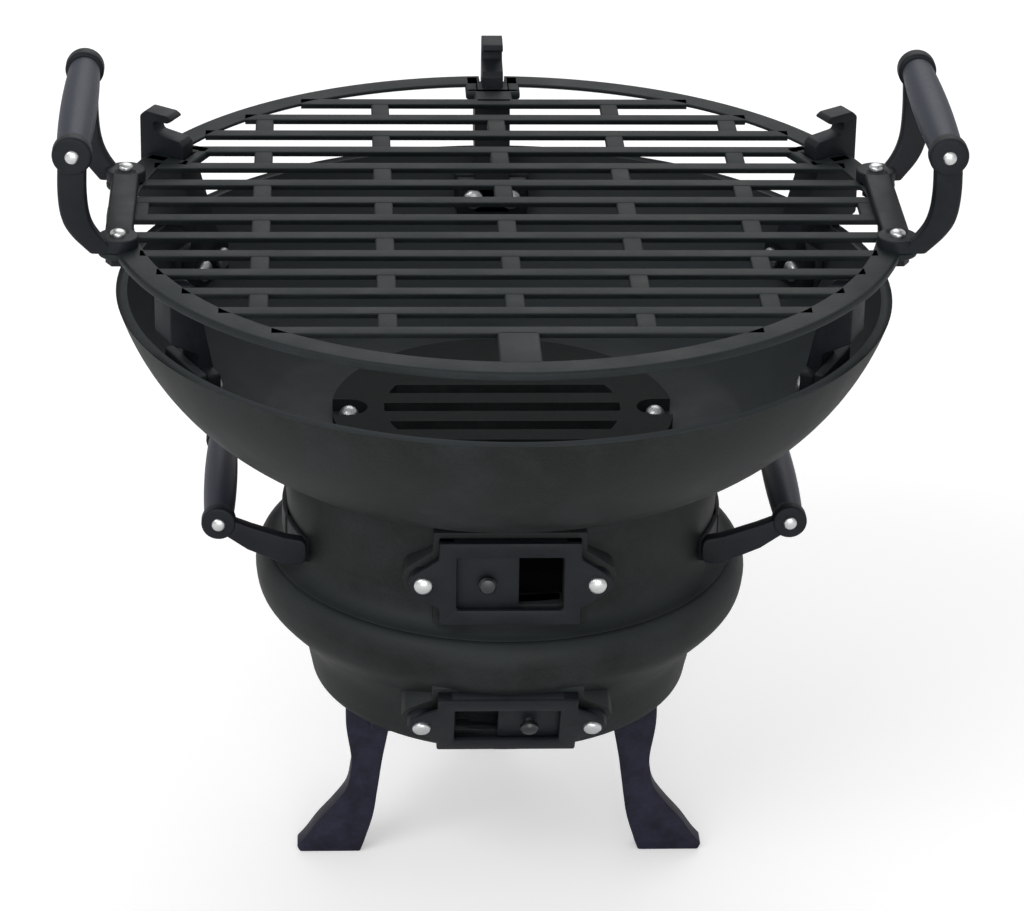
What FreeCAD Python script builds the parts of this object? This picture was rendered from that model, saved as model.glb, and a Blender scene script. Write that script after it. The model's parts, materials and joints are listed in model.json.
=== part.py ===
import FreeCAD, Part
import math
import os

# Barrel grill: a cast-iron lower bowl on three legs, a collar and a wide fire bowl that lift off it,
# and a cooking grate that lifts out of three hook brackets. Millimetres, +Z up, origin on the floor
# on the barrel's axis, front towards -Y.

# Cooking grate
grate_top_z = 303.0
grate_r = 178.0
grate_ring_w = 12.0
grate_t = 4.0
bar_w = 7.0
bar_pitch = 21.1
bar_count = 14
back_slot = 21.4
web_w = 8.5
web_pitch = 109.0
end_web_w = 18.0

# Fire bowl
rim_inset = 3.5
rim_r = grate_r - rim_inset
rim_z = 268.0
belly_inset = 19.9
belly_r = rim_r - belly_inset
belly_z = 231.0
bowl_foot_r = 108.0
bowl_foot_z = 196.0
bowl_wall = 5.0
bowl_mouth_r = 58.0

# Fire grate and the two bolts through the bowl's floor
fire_r = 78.0
fire_t = 6.0
fire_rim = 24.0
fire_slot = 9.0
fire_pitch = 20.0
fire_slot_count = 5
floor_bolt_x = 70.0
bolt_notch_gap = 2.5

# Collar
collar_top_r = 101.0
collar_taper = 4.0
collar_r = collar_top_r - collar_taper
collar_z = 141.5
collar_wall = 6.0
flange_t = 6.0
spigot_h = 8.0
spigot_t = 5.0
lift_gap = 0.5

# Lower bowl
bead_r = 112.3
bead_z = 128.0
shoulder_r = 108.5
bead_low_r = 98.0
bead_low_z = 112.0
bead_bulge = 2.6
waist_hollow = 2.2
heel_bulge = 2.0
waist_r = 89.0
waist_z = 97.0
heel_r = 85.5
heel_z = 82.0
low_foot_r = 76.5
low_foot_z = 73.0
low_wall = 6.0

# Legs: a flat casting that swings outwards from its root, written from the root's middle
leg_front_x = 61.6
leg_front_y = 41.0
leg_back_y = 72.0
leg_t = 11.0
leg_root_w = 20.0
leg_root_z = 84.0
leg_hip_z = 67.0
leg_seat_gap = 0.4
leg_neck_z = 49.0
leg_neck_out = 7.6
leg_neck_in = 6.8
leg_shin_z = 33.0
leg_shin_out = 15.1
leg_shin_in = 4.6
leg_ankle_z = 19.0
leg_ankle_out = 25.6
leg_ankle_in = 2.5
leg_toe_z = 5.0
leg_toe_out = 32.0
leg_heel_in = 1.6
leg_sole_out = 30.5
leg_sole_in = 3.4
tongue_t = 7.0
tongue_w = 20.0
tongue_l = 26.0
leg_bolt_in = 20.0

# Hook brackets and front rests
hook_deg = 64.0
rest_deg = 116.0
hook_t = 10.0
hook_shoulder_w = 17.0
hook_stand = 4.0
hook_out_r = grate_r + hook_stand
hook_post_w = 9.0
hook_reach = 22.0
hook_in_r = hook_out_r - hook_reach
hook_body_h = 9.5
hook_h = 20.0
hook_prong_t = 4.5
hook_prong = 16.0
hook_prong_lip = 1.5
seat_inset = 19.5
seat_r = rim_r - seat_inset
seat_low_z = 240.0
seat_h = 21.0
seat_half_w = 18.0
hook_foot_t = 7.0
hook_foot_h = 18.0
hook_foot_w = 34.0
hook_bolt_gap = 18.0
rim_gap = 1.5
rest_out_r = rim_r - bowl_wall - rim_gap
rest_w = 12.0
rest_rise = 4.0
notch_gap = 1.0
pad_margin = 7.0
pad_in = 5.0

# Fasteners
bolt_r = 3.0
bolt_head_r = 5.0
bolt_head_h = 3.4
hole_gap = 0.3
nut_across = 10.0
nut_h = 4.0
nut_gap = 0.05
thread_out = 1.5
tapped_in = 9.0
floor_head_r = 6.0

# Upper handles, on the cooking grate
up_bolt_inset = 7.0
up_bolt_x = grate_r - up_bolt_inset
up_bolt_y = 40.0
up_seat_drop = 1.0
up_seat_half = 58.0
up_seat_in = 10.0
up_foot_t = 6.0
up_foot_r = 9.0
up_bar_w = 12.0
up_grip_out = 18.0
up_grip_x = up_bolt_x + up_grip_out
up_grip_z = 351.0
up_eye_r = 8.75
up_eye_out = 58.0
up_eye_t = 8.0
up_grip_r = 8.2
up_arm_w = 11.5
up_arm_t = 9.0
up_root_out = 5.0
up_root_along = 4.0
up_knee_out = 11.0
up_knee_along = 8.0
up_knee_h = 19.0
up_elbow_out = 17.5
up_elbow_h = 34.0

# Lower handles, on the collar
low_seat_in = 0.5
low_base_x = collar_top_r - low_seat_in
low_grip_out = 28.3
low_grip_x = low_base_x + low_grip_out
low_grip_z = 171.0
low_eye_r = 7.25
low_eye_out = 48.0
low_eye_t = 7.0
low_grip_r = 6.8
low_base_t = 6.0
low_base_h = 12.0
low_base_z = 156.0
low_bolt_y = 12.0
low_pad_half = 22.0
low_arm_w = 8.0
low_pad_in = 9.0

# Grip rods
rod_r = 2.6
rod_head_h = 3.6
grip_taper_share = 0.86
rod_gap = 0.25

# Air vents
vent_open_w = 46.8
vent_open_h = 25.4
vent_frame_w = 62.4
vent_frame_h = 40.0
vent_frame_t = 6.0
vent_bolt_x = 38.2
vent_ear_r = 6.5
vent_pad_margin = 2.5
vent_seat = 10.0
shutter_w = 28.0
shutter_h = 30.0
shutter_t = 2.4
shutter_gap = 0.3
shutter_travel = 20.0
knob_r = 4.2
knob_h = 6.0
knob_neck_r = 2.2
mid_vent_y = collar_top_r
mid_vent_z = 170.0
low_seat_out = 6.0
low_vent_y = waist_r + low_seat_out
low_vent_z = 98.5
low_vent_tilt_deg = 30.0
spot_r = 8.0

overrun = 40.0
aligned_share = 0.9

X = FreeCAD.Vector(1, 0, 0)
Y = FreeCAD.Vector(0, 1, 0)
Z = FreeCAD.Vector(0, 0, 1)
MIRROR = FreeCAD.Vector(1, 0, 0)


def vec(x, y, z):
    return FreeCAD.Vector(x, y, z)


def cylinder(r, h, base, axis=Z):
    return Part.makeCylinder(r, h, base, axis)


def block(x0, x1, y0, y1, z0, z1):
    return Part.makeBox(x1 - x0, y1 - y0, z1 - z0, vec(x0, y0, z0))


def outline_face(points, plane):
    """A face from 2-D points; plane turns one point into a 3-D vector."""
    corners = [plane(*p) for p in points]
    return Part.Face(Part.makePolygon(corners + corners[:1]))


def turned(points):
    """A solid of revolution about Z from (r, z) points."""
    return outline_face(points, lambda r, z: vec(r, 0, z)).revolve(vec(0, 0, 0), Z, 360)


def about_z(shape, degrees):
    turned_copy = shape.copy()
    turned_copy.rotate(vec(0, 0, 0), Z, degrees)
    return turned_copy


def mirrored(shape):
    return shape.mirror(vec(0, 0, 0), MIRROR)


def fused(shapes):
    whole = shapes[0]
    if len(shapes) > 1:
        whole = shapes[0].multiFuse(shapes[1:])
    return whole.removeSplitter()


def round_head(r, h, base, axis):
    """A low domed bolt head that sits on its flat underside."""
    top_share = 0.62
    foot = Part.makeCylinder(r, h * (1 - top_share), base, axis)
    tip = base + axis * (h * (1 - top_share))
    dome_rise = h * top_share
    dome_r = (r * r + dome_rise * dome_rise) / (2 * dome_rise)
    ball = Part.makeSphere(dome_r, tip - axis * (dome_r - dome_rise))
    cap = Part.makeCylinder(r, dome_rise, tip, axis).common(ball)
    return foot.fuse(cap).removeSplitter()


def bolt(base, axis, length, head_r=bolt_head_r, head_h=bolt_head_h, shank_r=bolt_r):
    """A round-head bolt: its head seats at base and its shank runs against axis."""
    shank = Part.makeCylinder(shank_r, length, base - axis * length, axis)
    return round_head(head_r, head_h, base, axis).fuse(shank).removeSplitter()


def nut(base, axis, shank_r=bolt_r):
    """A hexagon nut whose near face is at base, lying along axis."""
    side = nut_across / math.sqrt(3)
    corners = []
    first = Y.cross(axis) if abs(axis.dot(Y)) < aligned_share else X.cross(axis)
    first.normalize()
    second = axis.cross(first)
    for k in range(6):
        turn = math.radians(60 * k)
        corners.append(base + first * (side * math.cos(turn)) + second * (side * math.sin(turn)))
    body = Part.Face(Part.makePolygon(corners + corners[:1])).extrude(axis * nut_h)
    return body.cut(Part.makeCylinder(shank_r + nut_gap, nut_h, base, axis))


def save(node, solids):
    """Write one node, as one solid or as a group of separate ones."""
    shape = solids[0] if len(solids) == 1 else Part.makeCompound(solids)
    for solid in shape.Solids:
        if not solid.isValid():
            print("not valid:", node)
    print("%-22s solids %d volume %.0f" % (node, len(shape.Solids), shape.Volume))
    shape.exportStep("parts/" + node + ".step")


def at_angle(degrees_from_back, shape):
    """Turn a piece built on the back (+Y) side to an angle seen from above, left positive."""
    return about_z(shape, degrees_from_back)


# Cooking grate
def slot_rows():
    """The front and back edge of each row of slots."""
    inner_r = grate_r - grate_ring_w
    edges = []
    back = inner_r
    front = inner_r - back_slot
    for k in range(bar_count):
        edges.append((front, back))
        back = front - bar_w
        front = back - (bar_pitch - bar_w)
    edges.append((-inner_r, back))
    return edges


def row_webs(index, rows):
    """Web centres and widths in one row: brickwork, with a wide web in the end rows."""
    reach = int(grate_r / web_pitch) + 1
    if index % 2 == 0:
        centres = [web_pitch * k for k in range(-reach, reach + 1)]
    else:
        centres = [web_pitch * k + web_pitch / 2 for k in range(-reach, reach)]
    ends = index in (0, rows - 1)
    return [(c, end_web_w if ends and c == 0 else web_w) for c in centres]


def bracket_angles():
    return [("left", hook_deg), ("right", -hook_deg), ("back", 0.0)]


def cooking_grate():
    low_z = grate_top_z - grate_t
    disc = cylinder(grate_r, grate_t, vec(0, 0, low_z))
    inner = cylinder(grate_r - grate_ring_w, grate_t, vec(0, 0, low_z))
    rows = slot_rows()
    strips = []
    for front, back in rows:
        strips.append(block(-grate_r, grate_r, front, back, low_z, grate_top_z))
    openings = Part.makeCompound(strips)
    webs = []
    for index, (front, back) in enumerate(rows):
        for centre, width in row_webs(index, len(rows)):
            webs.append(block(centre - width / 2, centre + width / 2, front, back, low_z, grate_top_z))
    pads = []
    for side, degrees in bracket_angles():
        half = notch_half() + pad_margin
        pad = block(-half, half, hook_in_r - notch_gap - pad_in, grate_r, low_z, grate_top_z)
        pads.append(at_angle(degrees, pad))
    lugs = []
    for sx in (-1, 1):
        for sy in (-1, 1):
            lugs.append(cylinder(up_foot_r, grate_t, vec(sx * up_bolt_x, sy * up_bolt_y, low_z)))
    solid_parts = Part.makeCompound(webs + pads)
    slots = inner.common(openings).cut(solid_parts)
    plate = fused([disc] + lugs).cut(slots)
    cuts = []
    for side, degrees in bracket_angles():
        half = notch_half()
        notch = block(-half, half, hook_in_r - notch_gap, grate_r + overrun, low_z, grate_top_z)
        cuts.append(at_angle(degrees, notch))
    for sx in (-1, 1):
        x0, x1 = sorted((sx * (up_bolt_x - up_seat_in), sx * (grate_r + overrun)))
        cuts.append(block(x0, x1, -up_seat_half, up_seat_half, handle_seat_z(), grate_top_z))
        for sy in (-1, 1):
            cuts.append(cylinder(bolt_r + hole_gap, grate_t, vec(sx * up_bolt_x, sy * up_bolt_y, low_z)))
    return plate.cut(Part.makeCompound(cuts)).removeSplitter()


def notch_half():
    return hook_t / 2 + notch_gap


def handle_seat_z():
    """The height of the seats that the upper handles stand on."""
    return grate_top_z - up_seat_drop


# Fire bowl
def bowl_outer_edges():
    """The bowl's outer curve, from its foot up to its rim."""
    start = vec(bowl_foot_r, 0, bowl_foot_z)
    middle = vec(belly_r, 0, belly_z)
    end = vec(rim_r, 0, rim_z)
    return Part.Arc(start, middle, end).toShape()


def bowl_filled():
    curve = bowl_outer_edges()
    low = vec(0, 0, bowl_foot_z)
    high = vec(0, 0, rim_z)
    lines = [
        Part.makeLine(vec(rim_r, 0, rim_z), high),
        Part.makeLine(high, low),
        Part.makeLine(low, vec(bowl_foot_r, 0, bowl_foot_z)),
    ]
    return Part.Face(Part.Wire([curve] + lines)).revolve(vec(0, 0, 0), Z, 360)


def bowl_cavity():
    """The space inside the wall: the outer curve moved in by the wall, open at the top."""
    floor_z = bowl_foot_z + bowl_wall
    start = vec(bowl_foot_r, 0, floor_z)
    middle = vec(belly_r - bowl_wall, 0, belly_z + bowl_wall / 2)
    end = vec(rim_r - bowl_wall, 0, rim_z)
    top = vec(rim_r - bowl_wall, 0, rim_z + overrun)
    curve = Part.Arc(start, middle, end).toShape()
    lines = [
        Part.makeLine(end, top),
        Part.makeLine(top, vec(0, 0, rim_z + overrun)),
        Part.makeLine(vec(0, 0, rim_z + overrun), vec(0, 0, floor_z)),
        Part.makeLine(vec(0, 0, floor_z), start),
    ]
    return Part.Face(Part.Wire([curve] + lines)).revolve(vec(0, 0, 0), Z, 360)


def holder_angles():
    """Every place on the rim that carries the grate."""
    places = [("hook_bracket_" + side, degrees, True) for side, degrees in bracket_angles()]
    places.append(("front_rest_left", rest_deg, False))
    places.append(("front_rest_right", -rest_deg, False))
    return places


def holder_bolt_places():
    z = seat_low_z + seat_h / 2
    return [vec(side * hook_bolt_gap / 2, seat_r - hook_foot_t, z) for side in (-1, 1)]


def top_bowl():
    filled = bowl_filled()
    shell = filled.cut(bowl_cavity())
    seats = []
    holes = []
    for name, degrees, hooked in holder_angles():
        seat = block(-seat_half_w, seat_half_w, seat_r, rim_r, seat_low_z, seat_low_z + seat_h)
        seats.append(at_angle(degrees, seat).common(filled))
        for place in holder_bolt_places():
            hole = cylinder(bolt_r + nut_gap, tapped_in, vec(place.x, seat_r, place.z), Y)
            holes.append(at_angle(degrees, hole))
    mouth = cylinder(bowl_mouth_r, bowl_wall, vec(0, 0, bowl_foot_z))
    for side in (-1, 1):
        holes.append(cylinder(bolt_r + hole_gap, bowl_wall, vec(side * floor_bolt_x, 0, bowl_foot_z)))
    whole = fused([shell] + seats)
    return whole.cut(Part.makeCompound([mouth] + holes)).removeSplitter()


def holder(hooked):
    """A hook bracket over the rim, or a plain rest inside it, built on the back (+Y) side."""
    foot_z = seat_low_z + (seat_h - hook_foot_h) / 2
    foot = block(-hook_foot_w / 2, hook_foot_w / 2, seat_r - hook_foot_t, seat_r, foot_z, foot_z + hook_foot_h)
    ring_low = grate_top_z - grate_t
    over_rim = rim_z + rim_gap
    foot_in = seat_r - hook_foot_t
    upright = [(rest_out_r, over_rim + rest_rise), (rest_out_r, ring_low), (rest_out_r - rest_w, ring_low)]
    if hooked:
        upright = [
            (hook_in_r, over_rim), (rim_r, over_rim), (hook_out_r, over_rim + hook_post_w / 2),
            (hook_out_r, ring_low), (hook_in_r, ring_low),
        ]
    post = [(foot_in, foot_z), (seat_r, foot_z), (seat_r, over_rim - hook_foot_t / 2)] + upright
    post.append((foot_in, foot_z + hook_foot_h))
    face = outline_face(post, lambda r, z: vec(-hook_shoulder_w / 2, r, z))
    pieces = [foot, face.extrude(vec(hook_shoulder_w, 0, 0))]
    if hooked:
        top = grate_top_z + hook_h
        body_top = grate_top_z + hook_body_h
        post_in = hook_out_r - hook_post_w
        tip = hook_out_r - hook_prong
        blade = [
            (hook_in_r, ring_low), (hook_out_r, ring_low), (hook_out_r, top - hook_prong_lip),
            (hook_out_r - hook_prong_lip, top), (tip, top), (tip - hook_prong_lip, top - hook_prong_lip),
            (tip, top - hook_prong_t), (post_in, top - hook_prong_t), (post_in, body_top),
            (hook_in_r + hook_prong_lip, body_top), (hook_in_r, body_top - hook_prong_lip),
        ]
        upper = outline_face(blade, lambda r, z: vec(-hook_t / 2, r, z))
        pieces.append(upper.extrude(vec(hook_t, 0, 0)))
    whole = fused(pieces)
    holes = [cylinder(bolt_r + hole_gap, hook_foot_t, place, Y) for place in holder_bolt_places()]
    access = []
    for place in holder_bolt_places():
        access.append(cylinder(bolt_head_r + hole_gap, overrun, place - Y * overrun, Y))
    return whole.cut(Part.makeCompound(holes + access)).removeSplitter()


def holder_bolts():
    bolts = []
    for name, degrees, hooked in holder_angles():
        for place in holder_bolt_places():
            bolts.append(at_angle(degrees, bolt(place, -Y, hook_foot_t + tapped_in - thread_out)))
    return bolts


# Fire grate
def fire_grate():
    low_z = bowl_foot_z + bowl_wall
    disc = cylinder(fire_r, fire_t, vec(0, 0, low_z))
    inner = cylinder(fire_r - fire_rim, fire_t, vec(0, 0, low_z))
    strips = []
    for k in range(fire_slot_count):
        centre = (k - (fire_slot_count - 1) / 2) * fire_pitch
        strips.append(block(-fire_r, fire_r, centre - fire_slot / 2, centre + fire_slot / 2, low_z, low_z + fire_t))
    notch_r = floor_head_r + bolt_notch_gap
    notches = []
    for side in (-1, 1):
        place = vec(side * floor_bolt_x, 0, low_z)
        notches.append(cylinder(notch_r, fire_t, place))
        x0, x1 = sorted((side * floor_bolt_x, side * (fire_r + overrun)))
        notches.append(block(x0, x1, -notch_r, notch_r, low_z, low_z + fire_t))
    slots = inner.common(Part.makeCompound(strips))
    return disc.cut(slots).cut(Part.makeCompound(notches)).removeSplitter()


def floor_bolts():
    top = bowl_foot_z + bowl_wall
    length = bowl_wall + flange_t + nut_h + thread_out
    return [bolt(vec(s * floor_bolt_x, 0, top), Z, length, floor_head_r) for s in (-1, 1)]


def floor_nuts():
    return [nut(vec(s * floor_bolt_x, 0, bowl_foot_z - flange_t), -Z) for s in (-1, 1)]


# Air vents, built with the seat at the origin and the outward side towards -Y
def vent_place(shape, centre_y, centre_z, tilt_deg):
    placed = shape.copy()
    placed.rotate(vec(0, 0, 0), X, tilt_deg)
    placed.translate(vec(0, -centre_y, centre_z))
    return placed


def ear_plate(depth, margin, y0):
    """The vent's outline: a rectangle with two tapered ears, as thick as depth."""
    half_w = vent_frame_w / 2 + margin
    half_h = vent_frame_h / 2 + margin
    ear = vent_ear_r + margin
    plate = block(-half_w, half_w, y0 - depth, y0, -half_h, half_h)
    pieces = [plate]
    for side in (-1, 1):
        tip = side * vent_bolt_x
        pieces.append(cylinder(ear, depth, vec(tip, y0 - depth, 0), Y))
        root = side * half_w
        wedge = [(root - side * ear, half_h), (root, half_h), (tip, ear), (tip, -ear), (root, -half_h),
                 (root - side * ear, -half_h)]
        pieces.append(outline_face(wedge, lambda x, z: vec(x, y0 - depth, z)).extrude(Y * depth))
    return fused(pieces)


def vent_seat_pad():
    """The flat boss on the host casting, reaching well into its wall."""
    return ear_plate(overrun, vent_pad_margin, overrun)


def vent_cuts():
    """The air window, the two bolt holes and the spot faces for the nuts behind the seat."""
    window = block(-vent_open_w / 2, vent_open_w / 2, -overrun, overrun, -vent_open_h / 2, vent_open_h / 2)
    cuts = [window]
    for side in (-1, 1):
        cuts.append(cylinder(bolt_r + hole_gap, vent_seat, vec(side * vent_bolt_x, 0, 0), Y))
        cuts.append(cylinder(spot_r, overrun, vec(side * vent_bolt_x, vent_seat, 0), Y))
    return Part.makeCompound(cuts)


def vent_frame():
    plate = ear_plate(vent_frame_t, 0, 0)
    window = block(-vent_open_w / 2, vent_open_w / 2, -vent_frame_t, 0, -vent_open_h / 2, vent_open_h / 2)
    run = (shutter_w + shutter_travel) / 2 + shutter_gap
    half_h = shutter_h / 2 + shutter_gap
    channel = block(-run, run, -shutter_t - 2 * shutter_gap, 0, -half_h, half_h)
    holes = [cylinder(bolt_r + hole_gap, vent_frame_t, vec(s * vent_bolt_x, -vent_frame_t, 0), Y) for s in (-1, 1)]
    return plate.cut(Part.makeCompound([window, channel] + holes)).removeSplitter()


def vent_shutter(side):
    """The sliding plate at one end of its travel; side is -1 for left, 1 for right."""
    x = side * shutter_travel / 2
    y = -shutter_gap - shutter_t
    plate = block(x - shutter_w / 2, x + shutter_w / 2, y, y + shutter_t, -shutter_h / 2, shutter_h / 2)
    return plate.cut(cylinder(knob_neck_r + nut_gap, shutter_t, vec(x, y, 0), Y))


def vent_knob(side):
    """A turned knob riveted through the shutter."""
    x = side * shutter_travel / 2
    y = -shutter_gap - shutter_t
    stem = cylinder(knob_neck_r, shutter_t + knob_h / 2, vec(x, y - knob_h / 2, 0), Y)
    head = round_head(knob_r, knob_h, vec(x, y, 0), -Y)
    return stem.fuse(head).removeSplitter()


def vent_bolts():
    length = vent_frame_t + vent_seat + nut_h + thread_out
    return [bolt(vec(s * vent_bolt_x, -vent_frame_t, 0), -Y, length, bolt_head_r) for s in (-1, 1)]


def vent_nuts():
    return [nut(vec(s * vent_bolt_x, vent_seat, 0), Y) for s in (-1, 1)]


def save_vent(name, side, centre_y, centre_z, tilt_deg):
    pieces = {
        "vent_frame": [vent_frame()],
        "shutter": [vent_shutter(side)],
        "knob": [vent_knob(side)],
        "vent_bolts": vent_bolts(),
        "vent_nuts": vent_nuts(),
    }
    for piece, solids in pieces.items():
        save(name + "_" + piece, [vent_place(s, centre_y, centre_z, tilt_deg) for s in solids])


# Collar
def collar():
    top_z = bowl_foot_z
    outer = turned([(0, collar_z), (collar_r, collar_z), (collar_top_r, top_z), (0, top_z)])
    pads = [vent_place(vent_seat_pad(), mid_vent_y, mid_vent_z, 0)]
    half_h = low_base_h / 2
    for side in (-1, 1):
        x0, x1 = sorted((0, side * low_base_x))
        pads.append(block(x0, x1, -low_pad_half, low_pad_half, low_base_z - half_h, low_base_z + half_h))
    inside = turned([
        (0, collar_z - overrun), (collar_r - collar_wall, collar_z - overrun),
        (collar_r - collar_wall, collar_z), (collar_top_r - collar_wall, top_z - flange_t), (0, top_z - flange_t),
    ])
    body = fused([outer] + pads).cut(inside)
    inner_pads = []
    for side in (-1, 1):
        pad_in = collar_r - collar_wall - low_pad_in
        x0, x1 = sorted((side * pad_in, side * low_base_x))
        inner_pads.append(block(x0, x1, -low_pad_half, low_pad_half, low_base_z - half_h, low_base_z + half_h))
    spigot_out = lower_mouth_r() - lift_gap
    spigot = cylinder(spigot_out, spigot_h + collar_wall, vec(0, 0, collar_z - spigot_h))
    spigot = spigot.cut(cylinder(spigot_out - spigot_t, spigot_h + collar_wall, vec(0, 0, collar_z - spigot_h)))
    cuts = [cylinder(bowl_mouth_r, flange_t, vec(0, 0, top_z - flange_t))]
    cuts.append(vent_place(vent_cuts(), mid_vent_y, mid_vent_z, 0))
    for side in (-1, 1):
        cuts.append(cylinder(bolt_r + hole_gap, flange_t, vec(side * floor_bolt_x, 0, top_z - flange_t)))
        for y_side in (-1, 1):
            place = vec(0, y_side * low_bolt_y, low_base_z)
            cuts.append(cylinder(bolt_r + hole_gap, low_base_x, place, X * side))
    return fused([body, spigot] + inner_pads).cut(Part.makeCompound(cuts)).removeSplitter()


def lower_mouth_r():
    """The radius of the lower bowl's mouth, which the collar's spigot enters."""
    return collar_r - collar_wall + spigot_t / 2


# Lower bowl
def bulged_arc(start, end, bulge):
    """An arc between two (r, z) points whose middle stands off the chord by bulge, to the right of its way."""
    run_r = end[0] - start[0]
    run_z = end[1] - start[1]
    chord = math.hypot(run_r, run_z)
    mid_r = (start[0] + end[0]) / 2 + run_z / chord * bulge
    mid_z = (start[1] + end[1]) / 2 - run_r / chord * bulge
    return Part.Arc(vec(start[0], 0, start[1]), vec(mid_r, 0, mid_z), vec(end[0], 0, end[1])).toShape()


def lower_outer(grow=0):
    """The outer face: a rounded heel, a waist, and a bead that swells out under the seam."""
    foot = (low_foot_r + grow, low_foot_z)
    heel = (heel_r + grow, heel_z)
    waist = (waist_r + grow, waist_z)
    bead_low = (bead_low_r + grow, bead_low_z)
    bead = (bead_r + grow, bead_z)
    shoulder = (shoulder_r + grow, collar_z)
    edges = [
        Part.makeLine(vec(0, 0, low_foot_z), vec(foot[0], 0, foot[1])),
        bulged_arc(foot, heel, heel_bulge),
        Part.makeLine(vec(heel[0], 0, heel[1]), vec(waist[0], 0, waist[1])),
        bulged_arc(waist, bead_low, -waist_hollow),
        bulged_arc(bead_low, bead, bead_bulge),
        bulged_arc(bead, shoulder, bead_bulge / 2),
        Part.makeLine(vec(shoulder[0], 0, collar_z), vec(0, 0, collar_z)),
        Part.makeLine(vec(0, 0, collar_z), vec(0, 0, low_foot_z)),
    ]
    return Part.Face(Part.Wire(edges)).revolve(vec(0, 0, 0), Z, 360)


def lower_cavity():
    floor_z = low_foot_z + low_wall
    return turned([
        (0, floor_z), (low_foot_r - low_wall, floor_z), (heel_r - low_wall, heel_z + low_wall / 2),
        (waist_r - low_wall, waist_z), (lower_mouth_r(), bead_z - low_wall),
        (lower_mouth_r(), collar_z + overrun), (0, collar_z + overrun),
    ])


def leg_places():
    """Each leg's name, its root's place and the way its foot swings out."""
    return [
        ("front_left", vec(-leg_front_x, -leg_front_y, 0), 180.0),
        ("front_right", vec(leg_front_x, -leg_front_y, 0), 0.0),
        ("back", vec(0, leg_back_y, 0), 90.0),
    ]


def at_leg(shape, place, degrees):
    placed = about_z(shape, degrees)
    placed.translate(place)
    return placed


def lower_bowl():
    pad = vent_place(vent_seat_pad(), low_vent_y, low_vent_z, low_vent_tilt_deg)
    whole = fused([lower_outer(), pad]).cut(lower_cavity())
    holes = [vent_place(vent_cuts(), low_vent_y, low_vent_z, low_vent_tilt_deg)]
    for name, place, degrees in leg_places():
        hole = cylinder(bolt_r + hole_gap, low_wall, vec(-leg_bolt_in, 0, low_foot_z))
        holes.append(at_leg(hole, place, degrees))
    return whole.cut(Part.makeCompound(holes)).removeSplitter()


# Legs
def curve_through(points):
    curve = Part.BSplineCurve()
    curve.interpolate([vec(u, -leg_t / 2, z) for u, z in points])
    return curve.toShape()


def lines_through(points):
    corners = [vec(u, -leg_t / 2, z) for u, z in points]
    return [Part.makeLine(first, second) for first, second in zip(corners, corners[1:])]


def leg():
    """An S-curved leg that swings out along +X, with a tongue under the bowl and a flared foot."""
    half_root = leg_root_w / 2
    top = low_foot_z
    outer = [
        (half_root, leg_hip_z), (leg_neck_out, leg_neck_z), (leg_shin_out, leg_shin_z),
        (leg_ankle_out, leg_ankle_z), (leg_toe_out, leg_toe_z),
    ]
    inner = [
        (leg_heel_in, leg_toe_z), (-leg_ankle_in, leg_ankle_z), (-leg_shin_in, leg_shin_z),
        (-leg_neck_in, leg_neck_z), (-half_root, leg_hip_z),
    ]
    sole = [outer[-1], (leg_sole_out, 0), (leg_sole_in, 0), inner[0]]
    root = [inner[-1], (-half_root, leg_root_z), (half_root, leg_root_z), outer[0]]
    edges = [curve_through(outer)] + lines_through(sole) + [curve_through(inner)] + lines_through(root)
    plate = Part.Face(Part.Wire(edges)).extrude(Y * leg_t)
    tongue = block(-half_root - tongue_l + leg_t, half_root - leg_t, -tongue_w / 2, tongue_w / 2, top - tongue_t, top)
    hole = cylinder(bolt_r + hole_gap, tongue_t, vec(-leg_bolt_in, 0, top - tongue_t))
    return fused([plate, tongue]).cut(hole).removeSplitter()


def leg_bolts():
    seat = vec(-leg_bolt_in, 0, low_foot_z - tongue_t)
    length = tongue_t + low_wall + nut_h + thread_out
    return [at_leg(bolt(seat, -Z, length), place, degrees) for name, place, degrees in leg_places()]


def leg_nuts():
    seat = vec(-leg_bolt_in, 0, low_foot_z + low_wall)
    return [at_leg(nut(seat, Z), place, degrees) for name, place, degrees in leg_places()]


# Handles, built on the right (+X) side
def grip(x, z, half_length, r):
    """A slightly barrel-shaped grip with a bore for its rod."""
    end_r = r * grip_taper_share
    start = vec(x, -half_length, z)
    curve = Part.Arc(start + X * end_r, vec(x + r, 0, z), vec(x + end_r, half_length, z)).toShape()
    lines = [
        Part.makeLine(vec(x + end_r, half_length, z), vec(x, half_length, z)),
        Part.makeLine(vec(x, half_length, z), start),
        Part.makeLine(start, start + X * end_r),
    ]
    body = Part.Face(Part.Wire([curve] + lines)).revolve(start, Y, 360)
    return body.cut(cylinder(rod_r + rod_gap, 2 * half_length, start, Y))


def grip_rod(x, z, eye_out):
    """A long bolt through both eyes, its head at the front."""
    length = 2 * eye_out + nut_h + thread_out
    return bolt(vec(x, -eye_out, z), -Y, length, bolt_head_r, rod_head_h, rod_r)


def grip_nut(x, z, eye_out):
    return nut(vec(x, eye_out, z), Y, rod_r)


def eyes(x, z, eye_r, eye_out, eye_t):
    rings = []
    for y0 in (-eye_out, eye_out - eye_t):
        rings.append(cylinder(eye_r, eye_t, vec(x, y0, z), Y))
    return rings


def flat_rectangle(x, y, z, wide, deep):
    corners = [
        vec(x - wide / 2, y - deep / 2, z), vec(x + wide / 2, y - deep / 2, z),
        vec(x + wide / 2, y + deep / 2, z), vec(x - wide / 2, y + deep / 2, z),
    ]
    return Part.makePolygon(corners + corners[:1])


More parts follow.
